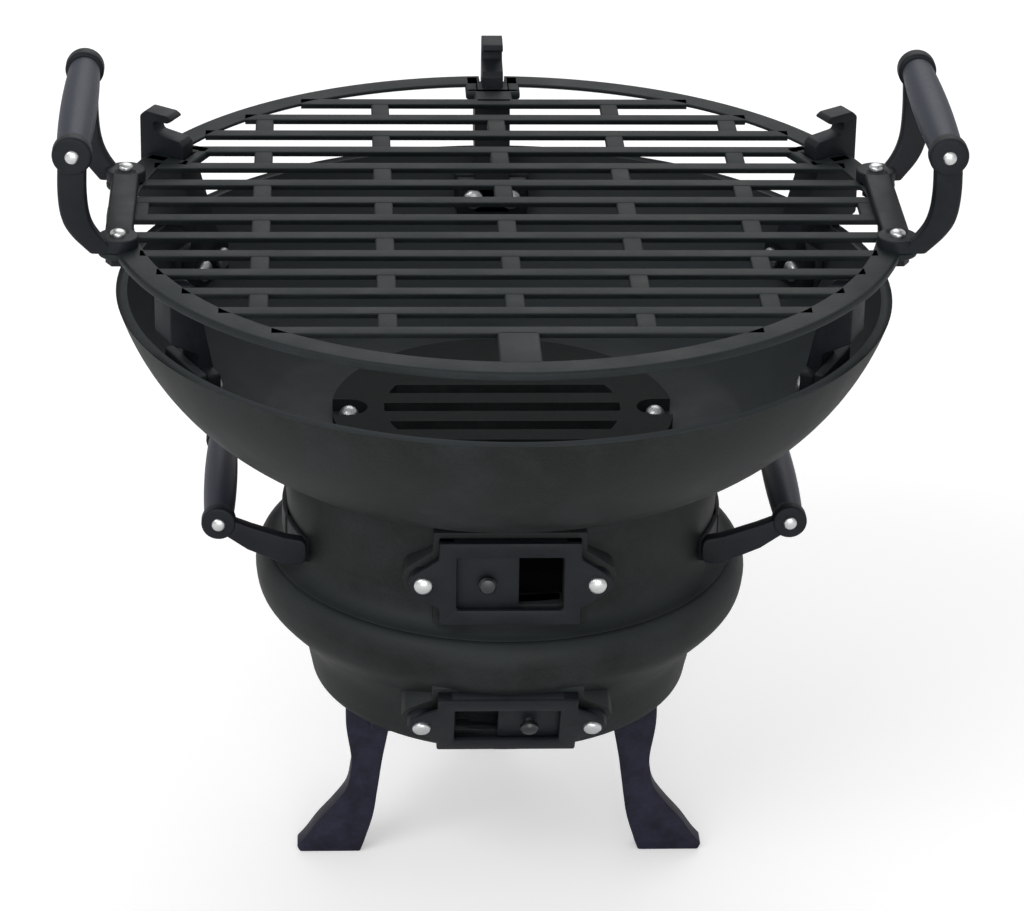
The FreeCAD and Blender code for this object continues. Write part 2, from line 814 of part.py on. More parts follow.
def upper_handle():
    """Two feet joined by a bar on the grate's ring, two leaning arms and two eyes."""
    pieces = eyes(up_grip_x, up_grip_z, up_eye_r, up_eye_out, up_eye_t)
    pieces.append(block(
        up_bolt_x - up_bar_w / 2, up_bolt_x + up_bar_w / 2, -up_bolt_y, up_bolt_y,
        handle_seat_z(), handle_seat_z() + up_foot_t))
    eye_mid = up_eye_out - up_eye_t / 2
    stations = [
        (up_bolt_x + up_root_out, up_bolt_y + up_root_along, handle_seat_z(), up_arm_t),
        (up_bolt_x + up_knee_out, up_bolt_y + up_knee_along, grate_top_z + up_knee_h, up_arm_t),
        (up_bolt_x + up_elbow_out, eye_mid, grate_top_z + up_elbow_h, up_eye_t),
        (up_grip_x, eye_mid, up_grip_z, up_eye_t),
    ]
    for side in (-1, 1):
        pieces.append(cylinder(up_foot_r, up_foot_t, vec(up_bolt_x, side * up_bolt_y, handle_seat_z())))
        sections = [flat_rectangle(x, side * y, z, up_arm_w, deep) for x, y, z, deep in stations]
        pieces.append(Part.makeLoft(sections, True, True))
    whole = fused(pieces)
    cuts = [cylinder(rod_r + rod_gap, 2 * up_eye_out, vec(up_grip_x, -up_eye_out, up_grip_z), Y)]
    for side in (-1, 1):
        place = vec(up_bolt_x, side * up_bolt_y, handle_seat_z())
        cuts.append(cylinder(bolt_r + hole_gap, up_foot_t, place))
        cuts.append(cylinder(bolt_head_r + hole_gap, overrun, place + Z * up_foot_t))
    return whole.cut(Part.makeCompound(cuts)).removeSplitter()


def upper_handle_bolts():
    length = up_foot_t + grate_t - up_seat_drop + nut_h + thread_out
    top = handle_seat_z() + up_foot_t
    return [bolt(vec(sx * up_bolt_x, sy * up_bolt_y, top), Z, length) for sx in (-1, 1) for sy in (-1, 1)]


def upper_handle_nuts():
    low = grate_top_z - grate_t
    return [nut(vec(sx * up_bolt_x, sy * up_bolt_y, low), -Z) for sx in (-1, 1) for sy in (-1, 1)]


def lower_handle():
    """A flat bar on the collar's side pad, two arms sweeping out and up, and two eyes."""
    half_h = low_base_h / 2
    pieces = eyes(low_grip_x, low_grip_z, low_eye_r, low_eye_out, low_eye_t)
    pieces.append(block(
        low_base_x, low_base_x + low_base_t, -low_eye_out, low_eye_out, low_base_z - half_h, low_base_z + half_h))
    for side in (-1, 1):
        y0, y1 = sorted((side * low_eye_out, side * (low_eye_out - low_eye_t)))
        bar_out = low_base_x + low_base_t
        arm = [
            (low_base_x, low_base_z - half_h), (bar_out, low_base_z - half_h),
            (low_grip_x, low_grip_z - low_arm_w / 2), (low_grip_x, low_grip_z + low_arm_w / 2),
            (bar_out, low_base_z + half_h), (low_base_x, low_base_z + half_h),
        ]
        pieces.append(outline_face(arm, lambda x, z: vec(x, y0, z)).extrude(Y * (y1 - y0)))
    whole = fused(pieces)
    cuts = [cylinder(rod_r + rod_gap, 2 * low_eye_out, vec(low_grip_x, -low_eye_out, low_grip_z), Y)]
    for side in (-1, 1):
        cuts.append(cylinder(bolt_r + nut_gap, low_base_t, vec(low_base_x, side * low_bolt_y, low_base_z), X))
    return whole.cut(Part.makeCompound(cuts)).removeSplitter()


def lower_handle_bolts():
    """Bolts from inside the collar, tapped into the handles' bars."""
    head_x = collar_r - collar_wall - low_pad_in
    length = low_base_x + low_base_t - head_x - thread_out
    bolts = []
    for sx in (-1, 1):
        for sy in (-1, 1):
            bolts.append(bolt(vec(sx * head_x, sy * low_bolt_y, low_base_z), -X * sx, length))
    return bolts


def save_pair(node, right):
    save(node + "_right", [right])
    save(node + "_left", [mirrored(right)])


def main():
    os.makedirs("parts", exist_ok=True)
    save("lower_bowl", [lower_bowl()])
    for name, place, degrees in leg_places():
        save("leg_" + name, [at_leg(leg(), place, degrees).cut(lower_outer(leg_seat_gap)).removeSplitter()])
    save("leg_bolts", leg_bolts())
    save("leg_nuts", leg_nuts())
    save_vent("lower", 1, low_vent_y, low_vent_z, low_vent_tilt_deg)
    save("collar", [collar()])
    save_vent("mid", -1, mid_vent_y, mid_vent_z, 0)
    save("top_bowl", [top_bowl()])
    save("fire_grate", [fire_grate()])
    save("floor_bolts", floor_bolts())
    save("floor_nuts", floor_nuts())
    for name, degrees, hooked in holder_angles():
        save(name, [at_angle(degrees, holder(hooked))])
    save("holder_bolts", holder_bolts())
    save_pair("lower_handle", lower_handle())
    low_half = low_eye_out - low_eye_t
    save_pair("lower_grip", grip(low_grip_x, low_grip_z, low_half, low_grip_r))
    save_pair("lower_grip_rod", grip_rod(low_grip_x, low_grip_z, low_eye_out))
    save_pair("lower_grip_nut", grip_nut(low_grip_x, low_grip_z, low_eye_out))
    save("lower_handle_bolts", lower_handle_bolts())
    save("cooking_grate", [cooking_grate()])
    save_pair("upper_handle", upper_handle())
    up_half = up_eye_out - up_eye_t
    save_pair("upper_grip", grip(up_grip_x, up_grip_z, up_half, up_grip_r))
    save_pair("upper_grip_rod", grip_rod(up_grip_x, up_grip_z, up_eye_out))
    save_pair("upper_grip_nut", grip_nut(up_grip_x, up_grip_z, up_eye_out))
    save("upper_handle_bolts", upper_handle_bolts())
    save("upper_handle_nuts", upper_handle_nuts())


main()
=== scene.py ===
import json
import math

import bmesh
import bpy
from bpy.props import FloatProperty, FloatVectorProperty, IntProperty, PointerProperty
from bpy.types import Operator, Panel, PropertyGroup
from mathutils import Matrix, Vector

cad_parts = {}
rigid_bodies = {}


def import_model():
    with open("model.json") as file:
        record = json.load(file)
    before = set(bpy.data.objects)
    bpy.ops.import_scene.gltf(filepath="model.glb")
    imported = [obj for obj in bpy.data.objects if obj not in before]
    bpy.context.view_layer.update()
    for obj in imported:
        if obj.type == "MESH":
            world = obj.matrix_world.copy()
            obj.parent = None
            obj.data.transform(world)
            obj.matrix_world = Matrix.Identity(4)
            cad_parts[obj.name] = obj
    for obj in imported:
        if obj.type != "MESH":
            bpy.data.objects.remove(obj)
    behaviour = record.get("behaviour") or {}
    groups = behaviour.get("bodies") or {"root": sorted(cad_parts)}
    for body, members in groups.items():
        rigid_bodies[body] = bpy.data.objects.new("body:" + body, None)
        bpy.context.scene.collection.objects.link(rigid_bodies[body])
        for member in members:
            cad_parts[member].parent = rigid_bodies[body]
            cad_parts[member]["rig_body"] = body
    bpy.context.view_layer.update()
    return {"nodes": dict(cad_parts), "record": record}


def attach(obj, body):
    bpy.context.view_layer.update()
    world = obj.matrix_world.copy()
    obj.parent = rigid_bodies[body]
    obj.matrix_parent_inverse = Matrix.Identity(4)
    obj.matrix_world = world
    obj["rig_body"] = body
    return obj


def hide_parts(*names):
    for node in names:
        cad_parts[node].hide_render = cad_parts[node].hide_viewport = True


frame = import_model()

bl_info = {
    "name": "Barrel Grill",
    "version": (1, 0, 0),
    "blender": (4, 5, 0),
    "location": "View3D > Sidebar > Grill",
    "description": "Dresses the packed barrel grill with cast iron, zinc and satin grips",
    "category": "Object",
}

MM = 0.001
ROUND_STEPS = 128
SIDES = (-1, 1)
# two faces that meet at less than this are shaded as one
SMOOTH_ANGLE = math.radians(32)
# an edge that turns by more than this is rounded
EDGE_ANGLE = math.radians(28)
# a corner that is wider than this is left as it is
STRAIGHT_ANGLE = math.radians(172)
MERGE_DISTANCE = 1e-6
NO_LENGTH = 1e-7

# degrees about the grill's axis, counted from the back
HOOK_TURNS = {"left": 64.0, "right": -64.0, "back": 0.0}
REST_TURNS = {"left": 116.0, "right": -116.0}
HOLDER_TURNS = list(HOOK_TURNS.values()) + list(REST_TURNS.values())


def metres(*values):
    """Lengths or coordinates written in millimetres, as metres."""
    return tuple(v * MM for v in values)


# the fire bowl's floor stands on the collar's roof, and both have the same mouth
FLOOR_Z, BOWL_WALL, MOUTH_R = metres(196, 5, 58)
# brackets and rests: face of their seat, their foot, and the inner and outer face of a hook
SEAT_IN, HOLDER_FOOT_IN, HOLDER_FOOT_LOW, HOLDER_FOOT_H = metres(155, 148, 241.5, 18)
HOOK_IN, HOOK_OUT = metres(160, 182)
# feet of the upper handles: place, radius, thickness, and how deep they sit in the grate
UPPER_FOOT_X, UPPER_FOOT_Y, UPPER_FOOT_R, UPPER_FOOT_T, UPPER_FOOT_SUNK = metres(171, 40, 9, 6, 1)
# saddles of the lower handles, and the inner face of the collar's pads behind them
SADDLE_LOW, SADDLE_HIGH, PAD_IN = metres(150, 162, 82)
# vents: half sizes of the frame and its window, the ears, and how far the face stands off its seat
VENT_HALF_W, VENT_HALF_H, WINDOW_HALF_W, WINDOW_HALF_H = metres(31.2, 20, 23.4, 12.7)
VENT_EAR_X, VENT_EAR_R, VENT_FACE = metres(38.2, 6.5, 6)
# y, z and tilt in degrees of each vent's seat
VENT_SEATS = {"mid": metres(-101, 170) + (0,), "lower": metres(-95, 98.5) + (30,)}
# x, y and turn in degrees of each leg, and the underside of the legs' tongues
LEGS = {
    "front_left": metres(-61.6, -41) + (180,),
    "front_right": metres(61.6, -41) + (0,),
    "back": metres(0, 72) + (90,),
}
TONGUE_LOW = 66 * MM
# grips: half length and radius, and for the eyes their range along Y, radius and rounding
GRIPS = {
    "upper": dict(half=49.8 * MM, r=8.2 * MM, eye=metres(50, 58), eye_r=8.75 * MM, eye_edge=1.8 * MM),
    "lower": dict(half=40.8 * MM, r=7.6 * MM, eye=metres(41, 48), eye_r=7.8 * MM, eye_edge=1.5 * MM),
}
ROD_BORE = 2.9 * MM

# words that the node trees use again and again
MATHS, COMBINE = "ShaderNodeMath", "ShaderNodeCombineXYZ"
PLUS, MINUS, TIMES = {"operation": "ADD"}, {"operation": "SUBTRACT"}, {"operation": "MULTIPLY"}


def linear(hex_colour):
    """An sRGB hex colour as linear red, green and blue."""
    parts = [int(hex_colour[i:i + 2], 16) / 255 for i in (1, 3, 5)]
    return [c / 12.92 if c <= 0.04045 else ((c + 0.055) / 1.055) ** 2.4 for c in parts]


def length(name, words, mm):
    """A length property whose default is in millimetres."""
    return FloatProperty(name=name, description=words, default=mm * MM, unit="LENGTH", precision=4)


def paint(name, words, hex_colour):
    """A colour property whose default is an sRGB hex value."""
    return FloatVectorProperty(
        name=name, description=words, default=linear(hex_colour), subtype="COLOR", size=3)


class GrillSizes(PropertyGroup):
    """Sizes that a user would change."""
    ring_r: length("Grate radius", "Outer radius of the cooking grate's ring", 178)
    ring_w: length("Ring width", "Width of the grate's ring", 12)
    grate_t: length("Grate thickness", "Height of the ring", 4)
    bar_t: length("Bar thickness", "Height of one tapered bar", 3.2)
    grate_top: length("Grate height", "Height of the cooking surface", 303)
    bar_w: length("Bar width", "Width of one grate bar", 7)
    bar_pitch: length("Bar pitch", "Distance from bar to bar", 21.1)
    back_slot: length("Back slot", "Width of the open slot behind the rearmost bar", 21.4)
    bar_count: IntProperty(name="Bars", description="Number of grate bars", default=14, min=2)
    web_w: length("Web width", "Width of the short webs between the bars", 8.5)
    web_pitch: length("Web pitch", "Distance between webs in one row", 109)
    rim_r: length("Bowl rim radius", "Outer radius of the fire bowl's rim", 174.5)
    rim_z: length("Bowl rim height", "Height of the fire bowl's rim", 268)
    upper_grip_x: length("Upper grip reach", "Distance of the upper grips from the axis", 189)
    upper_grip_z: length("Upper grip height", "Height of the upper grips", 351)
    lower_grip_x: length("Lower grip reach", "Distance of the lower grips from the axis", 128.8)
    lower_grip_z: length("Lower grip height", "Height of the lower grips", 171)
    edge: length("Cast edge", "Rounding of the castings' edges", 1.2)
    leg_edge: length("Leg edge", "Rounding of the legs' edges", 1.5)


class GrillColours(PropertyGroup):
    """Colours of the finishes, as the surface itself is; the paler colours on faces that look upwards are
    partly painted top light.
    """
    barrel: paint("Barrel", "Stove paint on the barrel castings", "#131615")
    # the paler colours are mixed in at random as a film, and are also laid on faces that look upwards as dust
    # and painted top light
    barrel_worn: paint("Barrel, dusty", "Paler film on the barrel castings", "#2b2f30")
    grate: paint("Grate", "Seasoned bare iron", "#1a1f20")
    grate_worn: paint("Grate, rubbed", "Rubbed tops of the bars", "#272d2f")
    fitting: paint("Fittings", "Paint on brackets, handles and vents", "#13161a")
    fitting_worn: paint("Fittings, dusty", "Paler film on the fittings", "#202429")
    leg: paint("Legs", "Blue-black paint on the legs", "#171723")
    leg_worn: paint("Legs, dusty", "Paler film on the legs", "#2b2b3e")
    grip: paint("Grips", "Slate satin paint on the grips", "#262b3a")
    # paler colour of the upward faces inside the fire bowl: thin ash, and painted light that lifts the bowl's
    # shaded inside
    ash: paint("Ash", "Thin ash on the inside of the fire bowl", "#34393b")
    soot: paint("Soot", "Sooty iron of the fire grate", "#151818")
    zinc: paint("Zinc", "Bright zinc on bolts and nuts", "#dadcdc")
    knob: paint("Knob steel", "Turned steel of the shutter knobs", "#4d4f50")
    floor: paint("Floor", "Pale studio floor", "#f2f2f2")


# Materials
def add_node(tree, kind, settings=None, inputs=None):
    """Add one node, set its properties, then set or link its inputs."""
    node = tree.nodes.new(kind)
    for key, value in (settings or {}).items():
        setattr(node, key, value)
    for key, value in (inputs or {}).items():
        if isinstance(value, bpy.types.NodeSocket):
            tree.links.new(value, node.inputs[key])
        else:
            node.inputs[key].default_value = value
    return node


def opaque(colour):
    """A colour with full alpha."""
    return (colour[0], colour[1], colour[2], 1.0)


def blank_material(name):
    """A new material with an empty node tree."""
    material = bpy.data.materials.new(name)
    material.use_nodes = True
    material.node_tree.nodes.clear()
    return material


def painted_casting(name, base, film, ash, grit_mm, cloud_mm, rough, bump_mm, dust_and_light):
    """Sand-cast iron under thin matte paint: a fine grit that breaks up the shine, a cloudy film, and a paler
    colour on faces that look upwards, partly settled dust and ash and partly painted top light."""
    film_share = 0.6
    material = blank_material(name)
    tree = material.node_tree
    place = add_node(tree, "ShaderNodeTexCoord").outputs["Object"]
    grit = add_node(tree, "ShaderNodeTexNoise", None, {
        "Vector": place, "Scale": 1 / (grit_mm * MM), "Detail": 3.0, "Roughness": 0.6})
    cloud = add_node(tree, "ShaderNodeTexNoise", None, {
        "Vector": place, "Scale": 1 / (cloud_mm * MM), "Detail": 5.0, "Roughness": 0.65})
    patch = add_node(tree, "ShaderNodeMapRange", None, {
        "Value": cloud.outputs["Fac"], "From Min": 0.38, "From Max": 0.68})
    speck = add_node(tree, "ShaderNodeMapRange", None, {
        "Value": grit.outputs["Fac"], "From Min": 0.3, "From Max": 0.75, "To Min": 0.0, "To Max": 0.45})
    facing = add_node(tree, "ShaderNodeSeparateXYZ", None, {
        0: add_node(tree, "ShaderNodeNewGeometry").outputs["Normal"]})
    # faces that look upwards take the paler colour: partly dust, partly painted light from above
    dust_and_light_mask = add_node(tree, "ShaderNodeMapRange", None, {
        "Value": facing.outputs["Z"], "From Min": 0.0, "From Max": 0.9, "To Min": 0.0, "To Max": dust_and_light})
    worn = add_node(tree, MATHS, PLUS, {0: patch.outputs["Result"], 1: speck.outputs["Result"]})
    share = add_node(tree, MATHS, TIMES, {0: worn.outputs[0], 1: film_share})
    filmed = add_node(tree, "ShaderNodeMix", {"data_type": "RGBA"}, {
        "Factor": share.outputs["Value"], 6: opaque(base), 7: opaque(film)})
    shade = add_node(tree, "ShaderNodeMix", {"data_type": "RGBA"}, {
        "Factor": dust_and_light_mask.outputs["Result"], 6: filmed.outputs[2], 7: opaque(ash)})
    shine = add_node(tree, "ShaderNodeMapRange", None, {
        "Value": cloud.outputs["Fac"], "From Min": 0.3, "From Max": 0.7,
        "To Min": rough - 0.07, "To Max": rough + 0.09})
    dents = add_node(tree, "ShaderNodeBump", None, {
        "Height": grit.outputs["Fac"], "Strength": 0.5, "Distance": bump_mm * MM})
    surface = add_node(tree, "ShaderNodeBsdfPrincipled", None, {
        "Base Color": shade.outputs[2], "Roughness": shine.outputs["Result"],
        "Normal": dents.outputs["Normal"], "IOR": 1.45, "Specular IOR Level": 0.22})
    add_node(tree, "ShaderNodeOutputMaterial", None, {"Surface": surface.outputs["BSDF"]})
    return material


def satin_grip(name, base):
    """Satin paint on a turned grip: smooth, with a faint orange peel that softens its highlight."""
    material = blank_material(name)
    tree = material.node_tree
    place = add_node(tree, "ShaderNodeTexCoord").outputs["Object"]
    peel_mm, peel_deep_mm = 1.6, 0.08
    dark, pale = 0.8, 1.2
    peel = add_node(tree, "ShaderNodeTexNoise", None, {
        "Vector": place, "Scale": 1 / (peel_mm * MM), "Detail": 2.0})
    shade = add_node(tree, "ShaderNodeMix", {"data_type": "RGBA"}, {
        "Factor": peel.outputs["Fac"],
        6: opaque([c * dark for c in base]), 7: opaque([c * pale for c in base])})
    shine = add_node(tree, "ShaderNodeMapRange", None, {
        "Value": peel.outputs["Fac"], "To Min": 0.42, "To Max": 0.58})
    dents = add_node(tree, "ShaderNodeBump", None, {
        "Height": peel.outputs["Fac"], "Strength": 0.15, "Distance": peel_deep_mm * MM})
    surface = add_node(tree, "ShaderNodeBsdfPrincipled", None, {
        "Base Color": shade.outputs[2], "Roughness": shine.outputs["Result"],
        "Normal": dents.outputs["Normal"], "IOR": 1.5, "Specular IOR Level": 0.35})
    add_node(tree, "ShaderNodeOutputMaterial", None, {"Surface": surface.outputs["BSDF"]})
    return material


def plated_metal(name, base, rough):
    """Zinc plate or turned steel: bright metal whose fine crystals make the shine uneven."""
    material = blank_material(name)
    tree = material.node_tree
    place = add_node(tree, "ShaderNodeTexCoord").outputs["Object"]
    crystal_mm = 0.9
    dark, pale = 0.86, 1.06
    crystal = add_node(tree, "ShaderNodeTexNoise", None, {
        "Vector": place, "Scale": 1 / (crystal_mm * MM), "Detail": 2.0})
    shade = add_node(tree, "ShaderNodeMix", {"data_type": "RGBA"}, {
        "Factor": crystal.outputs["Fac"],
        6: opaque([c * dark for c in base]), 7: opaque([min(1.0, c * pale) for c in base])})
    shine = add_node(tree, "ShaderNodeMapRange", None, {
        "Value": crystal.outputs["Fac"], "To Min": rough - 0.08, "To Max": rough + 0.1})
    surface = add_node(tree, "ShaderNodeBsdfPrincipled", None, {
        "Base Color": shade.outputs[2], "Roughness": shine.outputs["Result"], "Metallic": 1.0})
    add_node(tree, "ShaderNodeOutputMaterial", None, {"Surface": surface.outputs["BSDF"]})
    return material


def finish(look):
    """The material of one look, made once."""
    c = bpy.context.scene.grill_colours
    # the grit of sand-cast iron is about 0.4 mm; it is drawn coarser here so that it shows in the render
    looks = {
        # thin stove paint over the sand's grit: a dull black with faint cloudy patches
        "barrel_iron": ("sand_cast_iron_stove_painted", painted_casting, dict(
            base=c.barrel, film=c.barrel_worn, ash=c.barrel_worn,
            grit_mm=1.3, cloud_mm=34.0, rough=0.56, bump_mm=0.22, dust_and_light=0.9)),
        # the same paint under a film of ash and painted light: the faces that look upwards turn grey, which
        # lifts the shaded inside of the bowl
        "ashy_lit_iron": ("sand_cast_iron_stove_painted_ashy", painted_casting, dict(
            base=c.barrel, film=c.barrel_worn, ash=c.ash,
            grit_mm=1.3, cloud_mm=34.0, rough=0.56, bump_mm=0.22, dust_and_light=1.8)),
        # sprayed paint fills the grit: a smoother, slightly blue black with softer patches
        "fitting_iron": ("sand_cast_iron_sprayed_black", painted_casting, dict(
            base=c.fitting, film=c.fitting_worn, ash=c.fitting_worn,
            grit_mm=1.1, cloud_mm=18.0, rough=0.5, bump_mm=0.18, dust_and_light=0.3)),
        # a thick dip over a rough casting: small mottled patches with a blue cast
        "leg_iron": ("sand_cast_iron_dipped_blue_black", painted_casting, dict(
            base=c.leg, film=c.leg_worn, ash=c.leg_worn,
            grit_mm=2.2, cloud_mm=9.0, rough=0.5, bump_mm=0.35, dust_and_light=0.0)),
        # burnt-on oil over bare iron: an even grey-black whose grit still shows on the bars
        "grate_iron": ("sand_cast_iron_oil_seasoned", painted_casting, dict(
            base=c.grate, film=c.grate_worn, ash=c.grate_worn,
            grit_mm=1.5, cloud_mm=26.0, rough=0.56, bump_mm=0.26, dust_and_light=0.1)),
        # soot over bare iron: the dullest and darkest of all
        "soot": ("sand_cast_iron_sooted", painted_casting, dict(
            base=c.soot, film=c.barrel_worn, ash=c.barrel_worn,
            grit_mm=2.0, cloud_mm=30.0, rough=0.75, bump_mm=0.3, dust_and_light=0.2)),
        # satin spray on a turned grip: a broad soft highlight along its length
        "grip": ("turned_grip_satin_sprayed", satin_grip, dict(base=c.grip)),
        # electroplated zinc: small bright dots that catch every lamp
        "zinc": ("steel_zinc_electroplated", plated_metal, dict(base=c.zinc, rough=0.34)),
        # bare turned steel: a darker, duller glint than the zinc
        "knob_steel": ("steel_turned_bare", plated_metal, dict(base=c.knob, rough=0.4)),
    }
    name, make, values = looks[look]
    return bpy.data.materials.get(name) or make(name, **values)


# Shapes
def rounded(points, radius, steps=4):
    """A closed 2-D outline with its corners rounded."""
    # a corner takes up less than half of each side
    side_share = 0.48
    out = []
    count = len(points)
    for i in range(count):
        here = Vector(points[i])
        back = Vector(points[i - 1]) - here
        ahead = Vector(points[(i + 1) % count]) - here
        turn_angle = back.angle(ahead)
        if turn_angle > STRAIGHT_ANGLE:
            out.append(tuple(here))
            continue
        reach = min(radius / math.tan(turn_angle / 2), back.length * side_share, ahead.length * side_share)
        start = here + back.normalized() * reach
        end = here + ahead.normalized() * reach
        for k in range(steps + 1):
            t = k / steps
            out.append(tuple(start * (1 - t) ** 2 + here * (2 * t * (1 - t)) + end * t ** 2))
    return out


def smooth_line(points, steps):
    """A smooth curve that passes through every point."""
    knots = [Vector(p) for p in points]
    ends = [knots[0] * 2 - knots[1]] + knots + [knots[-1] * 2 - knots[-2]]
    out = []
    for i in range(1, len(ends) - 2):
        a, b, c, d = ends[i - 1:i + 3]
        for k in range(steps):
            t = k / steps
            out.append((b * 2 + (c - a) * t + (a * 2 - b * 5 + c * 4 - d) * t ** 2
                        + (b * 3 - a - c * 3 + d) * t ** 3) / 2)
    return out + [knots[-1]]


def bulged(start, end, bulge, steps):
    """An arc between two (r, z) points, standing off its chord to the right by bulge."""
    a, b = Vector(start), Vector(end)
    run = b - a
    side = Vector((run.y, -run.x)).normalized()
    return [tuple(a + run * (k / steps) + side * (bulge * 4 * (k / steps) * (1 - k / steps)))
            for k in range(steps + 1)]


def circle_through(start, middle, end):
    """Points along the circle through three (r, z) points."""
    steps = 28
    (ax, ay), (bx, by), (cx, cy) = start, middle, end
    d = 2 * (ax * (by - cy) + bx * (cy - ay) + cx * (ay - by))
    a2, b2, c2 = ax * ax + ay * ay, bx * bx + by * by, cx * cx + cy * cy
    ux = (a2 * (by - cy) + b2 * (cy - ay) + c2 * (ay - by)) / d
    uy = (a2 * (cx - bx) + b2 * (ax - cx) + c2 * (bx - ax)) / d
    r = math.hypot(ax - ux, ay - uy)
    first, last = math.atan2(ay - uy, ax - ux), math.atan2(cy - uy, cx - ux)
    turns = [first + (last - first) * k / steps for k in range(steps + 1)]
    return [(ux + r * math.cos(a), uy + r * math.sin(a)) for a in turns]


def span(way, near, far):
    """The range from near to far on one side of zero, its lower end first."""
    return sorted((way * near, way * far))


def turn(profile, steps=ROUND_STEPS, place=None, closed=True, arc=None):
    """Sweep an (r, z) outline about the Z axis, all round or over an arc in degrees."""
    bm = bmesh.new()
    where = place or Matrix.Identity(4)
    start, end = arc or (0.0, 360.0)
    count = steps + 1 if arc else steps
    rings = []
    for i in range(count):
        a = math.radians(start + (end - start) * i / steps)
        across, along = math.cos(a), math.sin(a)
        rings.append([bm.verts.new(where @ Vector((r * across, r * along, z))) for r, z in profile])
    spans = len(profile) if closed else len(profile) - 1
    for i in range(steps):
        one, two = rings[i], rings[(i + 1) % count]
        for j in range(spans):
            k = (j + 1) % len(profile)
            bm.faces.new((one[j], one[k], two[k], two[j]))
    if arc:
        bm.faces.new(rings[0])
        bm.faces.new(rings[-1][::-1])
    return tidy(bm)


def tidy(bm):
    """Merge doubles, drop faces of no size and point every face outwards."""
    bmesh.ops.remove_doubles(bm, verts=bm.verts, dist=MERGE_DISTANCE)
    bmesh.ops.dissolve_degenerate(bm, edges=bm.edges, dist=NO_LENGTH)
    bmesh.ops.recalc_face_normals(bm, faces=bm.faces)
    return bm


def soften(bm, width, segments=3):
    """Round the sharp edges of a shape."""
    sharp = [e for e in bm.edges if len(e.link_faces) == 2 and e.calc_face_angle() > EDGE_ANGLE]
    bmesh.ops.bevel(bm, geom=sharp, offset=width, offset_type="OFFSET", segments=segments,
                    profile=0.5, affect="EDGES", clamp_overlap=True)
    return tidy(bm)


def extrude(outline, near, far, to_space, edge, segments=3):
    """A plate from a 2-D outline between two depths, with rounded edges."""
    bm = bmesh.new()
    low = [bm.verts.new(to_space(u, v, near)) for u, v in outline]
    high = [bm.verts.new(to_space(u, v, far)) for u, v in outline]
    bm.faces.new(low)
    bm.faces.new(high[::-1])
    for i in range(len(outline)):
        k = (i + 1) % len(outline)
        bm.faces.new((low[i], low[k], high[k], high[i]))
    tidy(bm)
    return soften(bm, edge, segments) if edge else bm


def block(low, high, edge, segments=3):
    """A box with rounded edges."""
    outline = [(low[0], low[1]), (high[0], low[1]), (high[0], high[1]), (low[0], high[1])]
    return extrude(outline, low[2], high[2], lambda u, v, d: Vector((u, v, d)), edge, segments)


def loft(sections):
    """A closed skin over equal-length rings of points, with flat ends."""
    bm = bmesh.new()
    rings = [[bm.verts.new(p) for p in ring] for ring in sections]
    for one, two in zip(rings, rings[1:]):
        for j in range(len(one)):
            k = (j + 1) % len(one)
            bm.faces.new((one[j], one[k], two[k], two[j]))
    bm.faces.new(rings[0])
    bm.faces.new(rings[-1][::-1])
    return tidy(bm)


def window_plate(outer, inner, near, far, edge):
    """A plate with a window: two outlines with the same number of points, joined one to one."""
    bm = bmesh.new()
    rings = []
    for outline, depth in ((outer, near), (inner, near), (inner, far), (outer, far)):
        rings.append([bm.verts.new(Vector((u, depth, v))) for u, v in outline])
    for a in range(4):
        one, two = rings[a], rings[(a + 1) % 4]
        for j in range(len(outer)):
            k = (j + 1) % len(outer)
            bm.faces.new((one[j], one[k], two[k], two[j]))
    return soften(tidy(bm), edge, segments=2)


def moved(bm, matrix):
    """Move a shape; a mirrored one has its faces turned out again."""
    bm.transform(matrix)
    if matrix.determinant() < 0:
        bmesh.ops.recalc_face_normals(bm, faces=bm.faces)
    return bm


def disc(r, low, high, edge, place, corner_steps=4, steps=32):
    """A turned disc; its hair-thin core lets the whole outline be rounded."""
    core = 0.1 * MM
    outline = rounded([(core, low), (r, low), (r, high), (core, high)], edge, corner_steps)
    return turn(outline, steps, place)


def about_z(degrees):
    """A turn about the grill's axis."""
    return Matrix.Rotation(math.radians(degrees), 4, "Z")


def along_y(x, y, z):
    """A place whose turning axis points along +Y."""
    return Matrix.Translation((x, y, z)) @ Matrix.Rotation(math.radians(-90), 4, "X")


def joined(shapes):
    """Put several shapes into one mesh."""
    whole = bmesh.new()
    for shape in shapes:
        part = bpy.data.meshes.new("part")
        shape.to_mesh(part)
        shape.free()
        whole.from_mesh(part)
        bpy.data.meshes.remove(part)
    return whole


def cut_window(bm, cutter):
    """Cut one shape out of another."""
    pair = []
    for name, shape in (("host", bm), ("cutter", cutter)):
        mesh = bpy.data.meshes.new(name)
        shape.to_mesh(mesh)
        shape.free()
        pair.append(bpy.data.objects.new(name, mesh))
        bpy.context.scene.collection.objects.link(pair[-1])
    host, tool = pair
    cut = host.modifiers.new("window", "BOOLEAN")
    cut.operation = "DIFFERENCE"
    cut.solver = "EXACT"
    cut.object = tool
    bpy.context.view_layer.update()
    baked = bpy.data.meshes.new_from_object(host.evaluated_get(bpy.context.evaluated_depsgraph_get()))
    result = bmesh.new()
    result.from_mesh(baked)
    for obj in pair:
        mesh = obj.data
        bpy.data.objects.remove(obj)
        bpy.data.meshes.remove(mesh)
    bpy.data.meshes.remove(baked)
    return result


def piece(name, bm, nodes, slot, look=None):
    """Turn a shape into a finished piece that stands for CAD nodes and rides on their body."""
    mesh = bpy.data.meshes.new(name)
    bm.to_mesh(mesh)
    bm.free()
    mesh.materials.append(finish(look or slot))
    return settle(name, mesh, nodes)


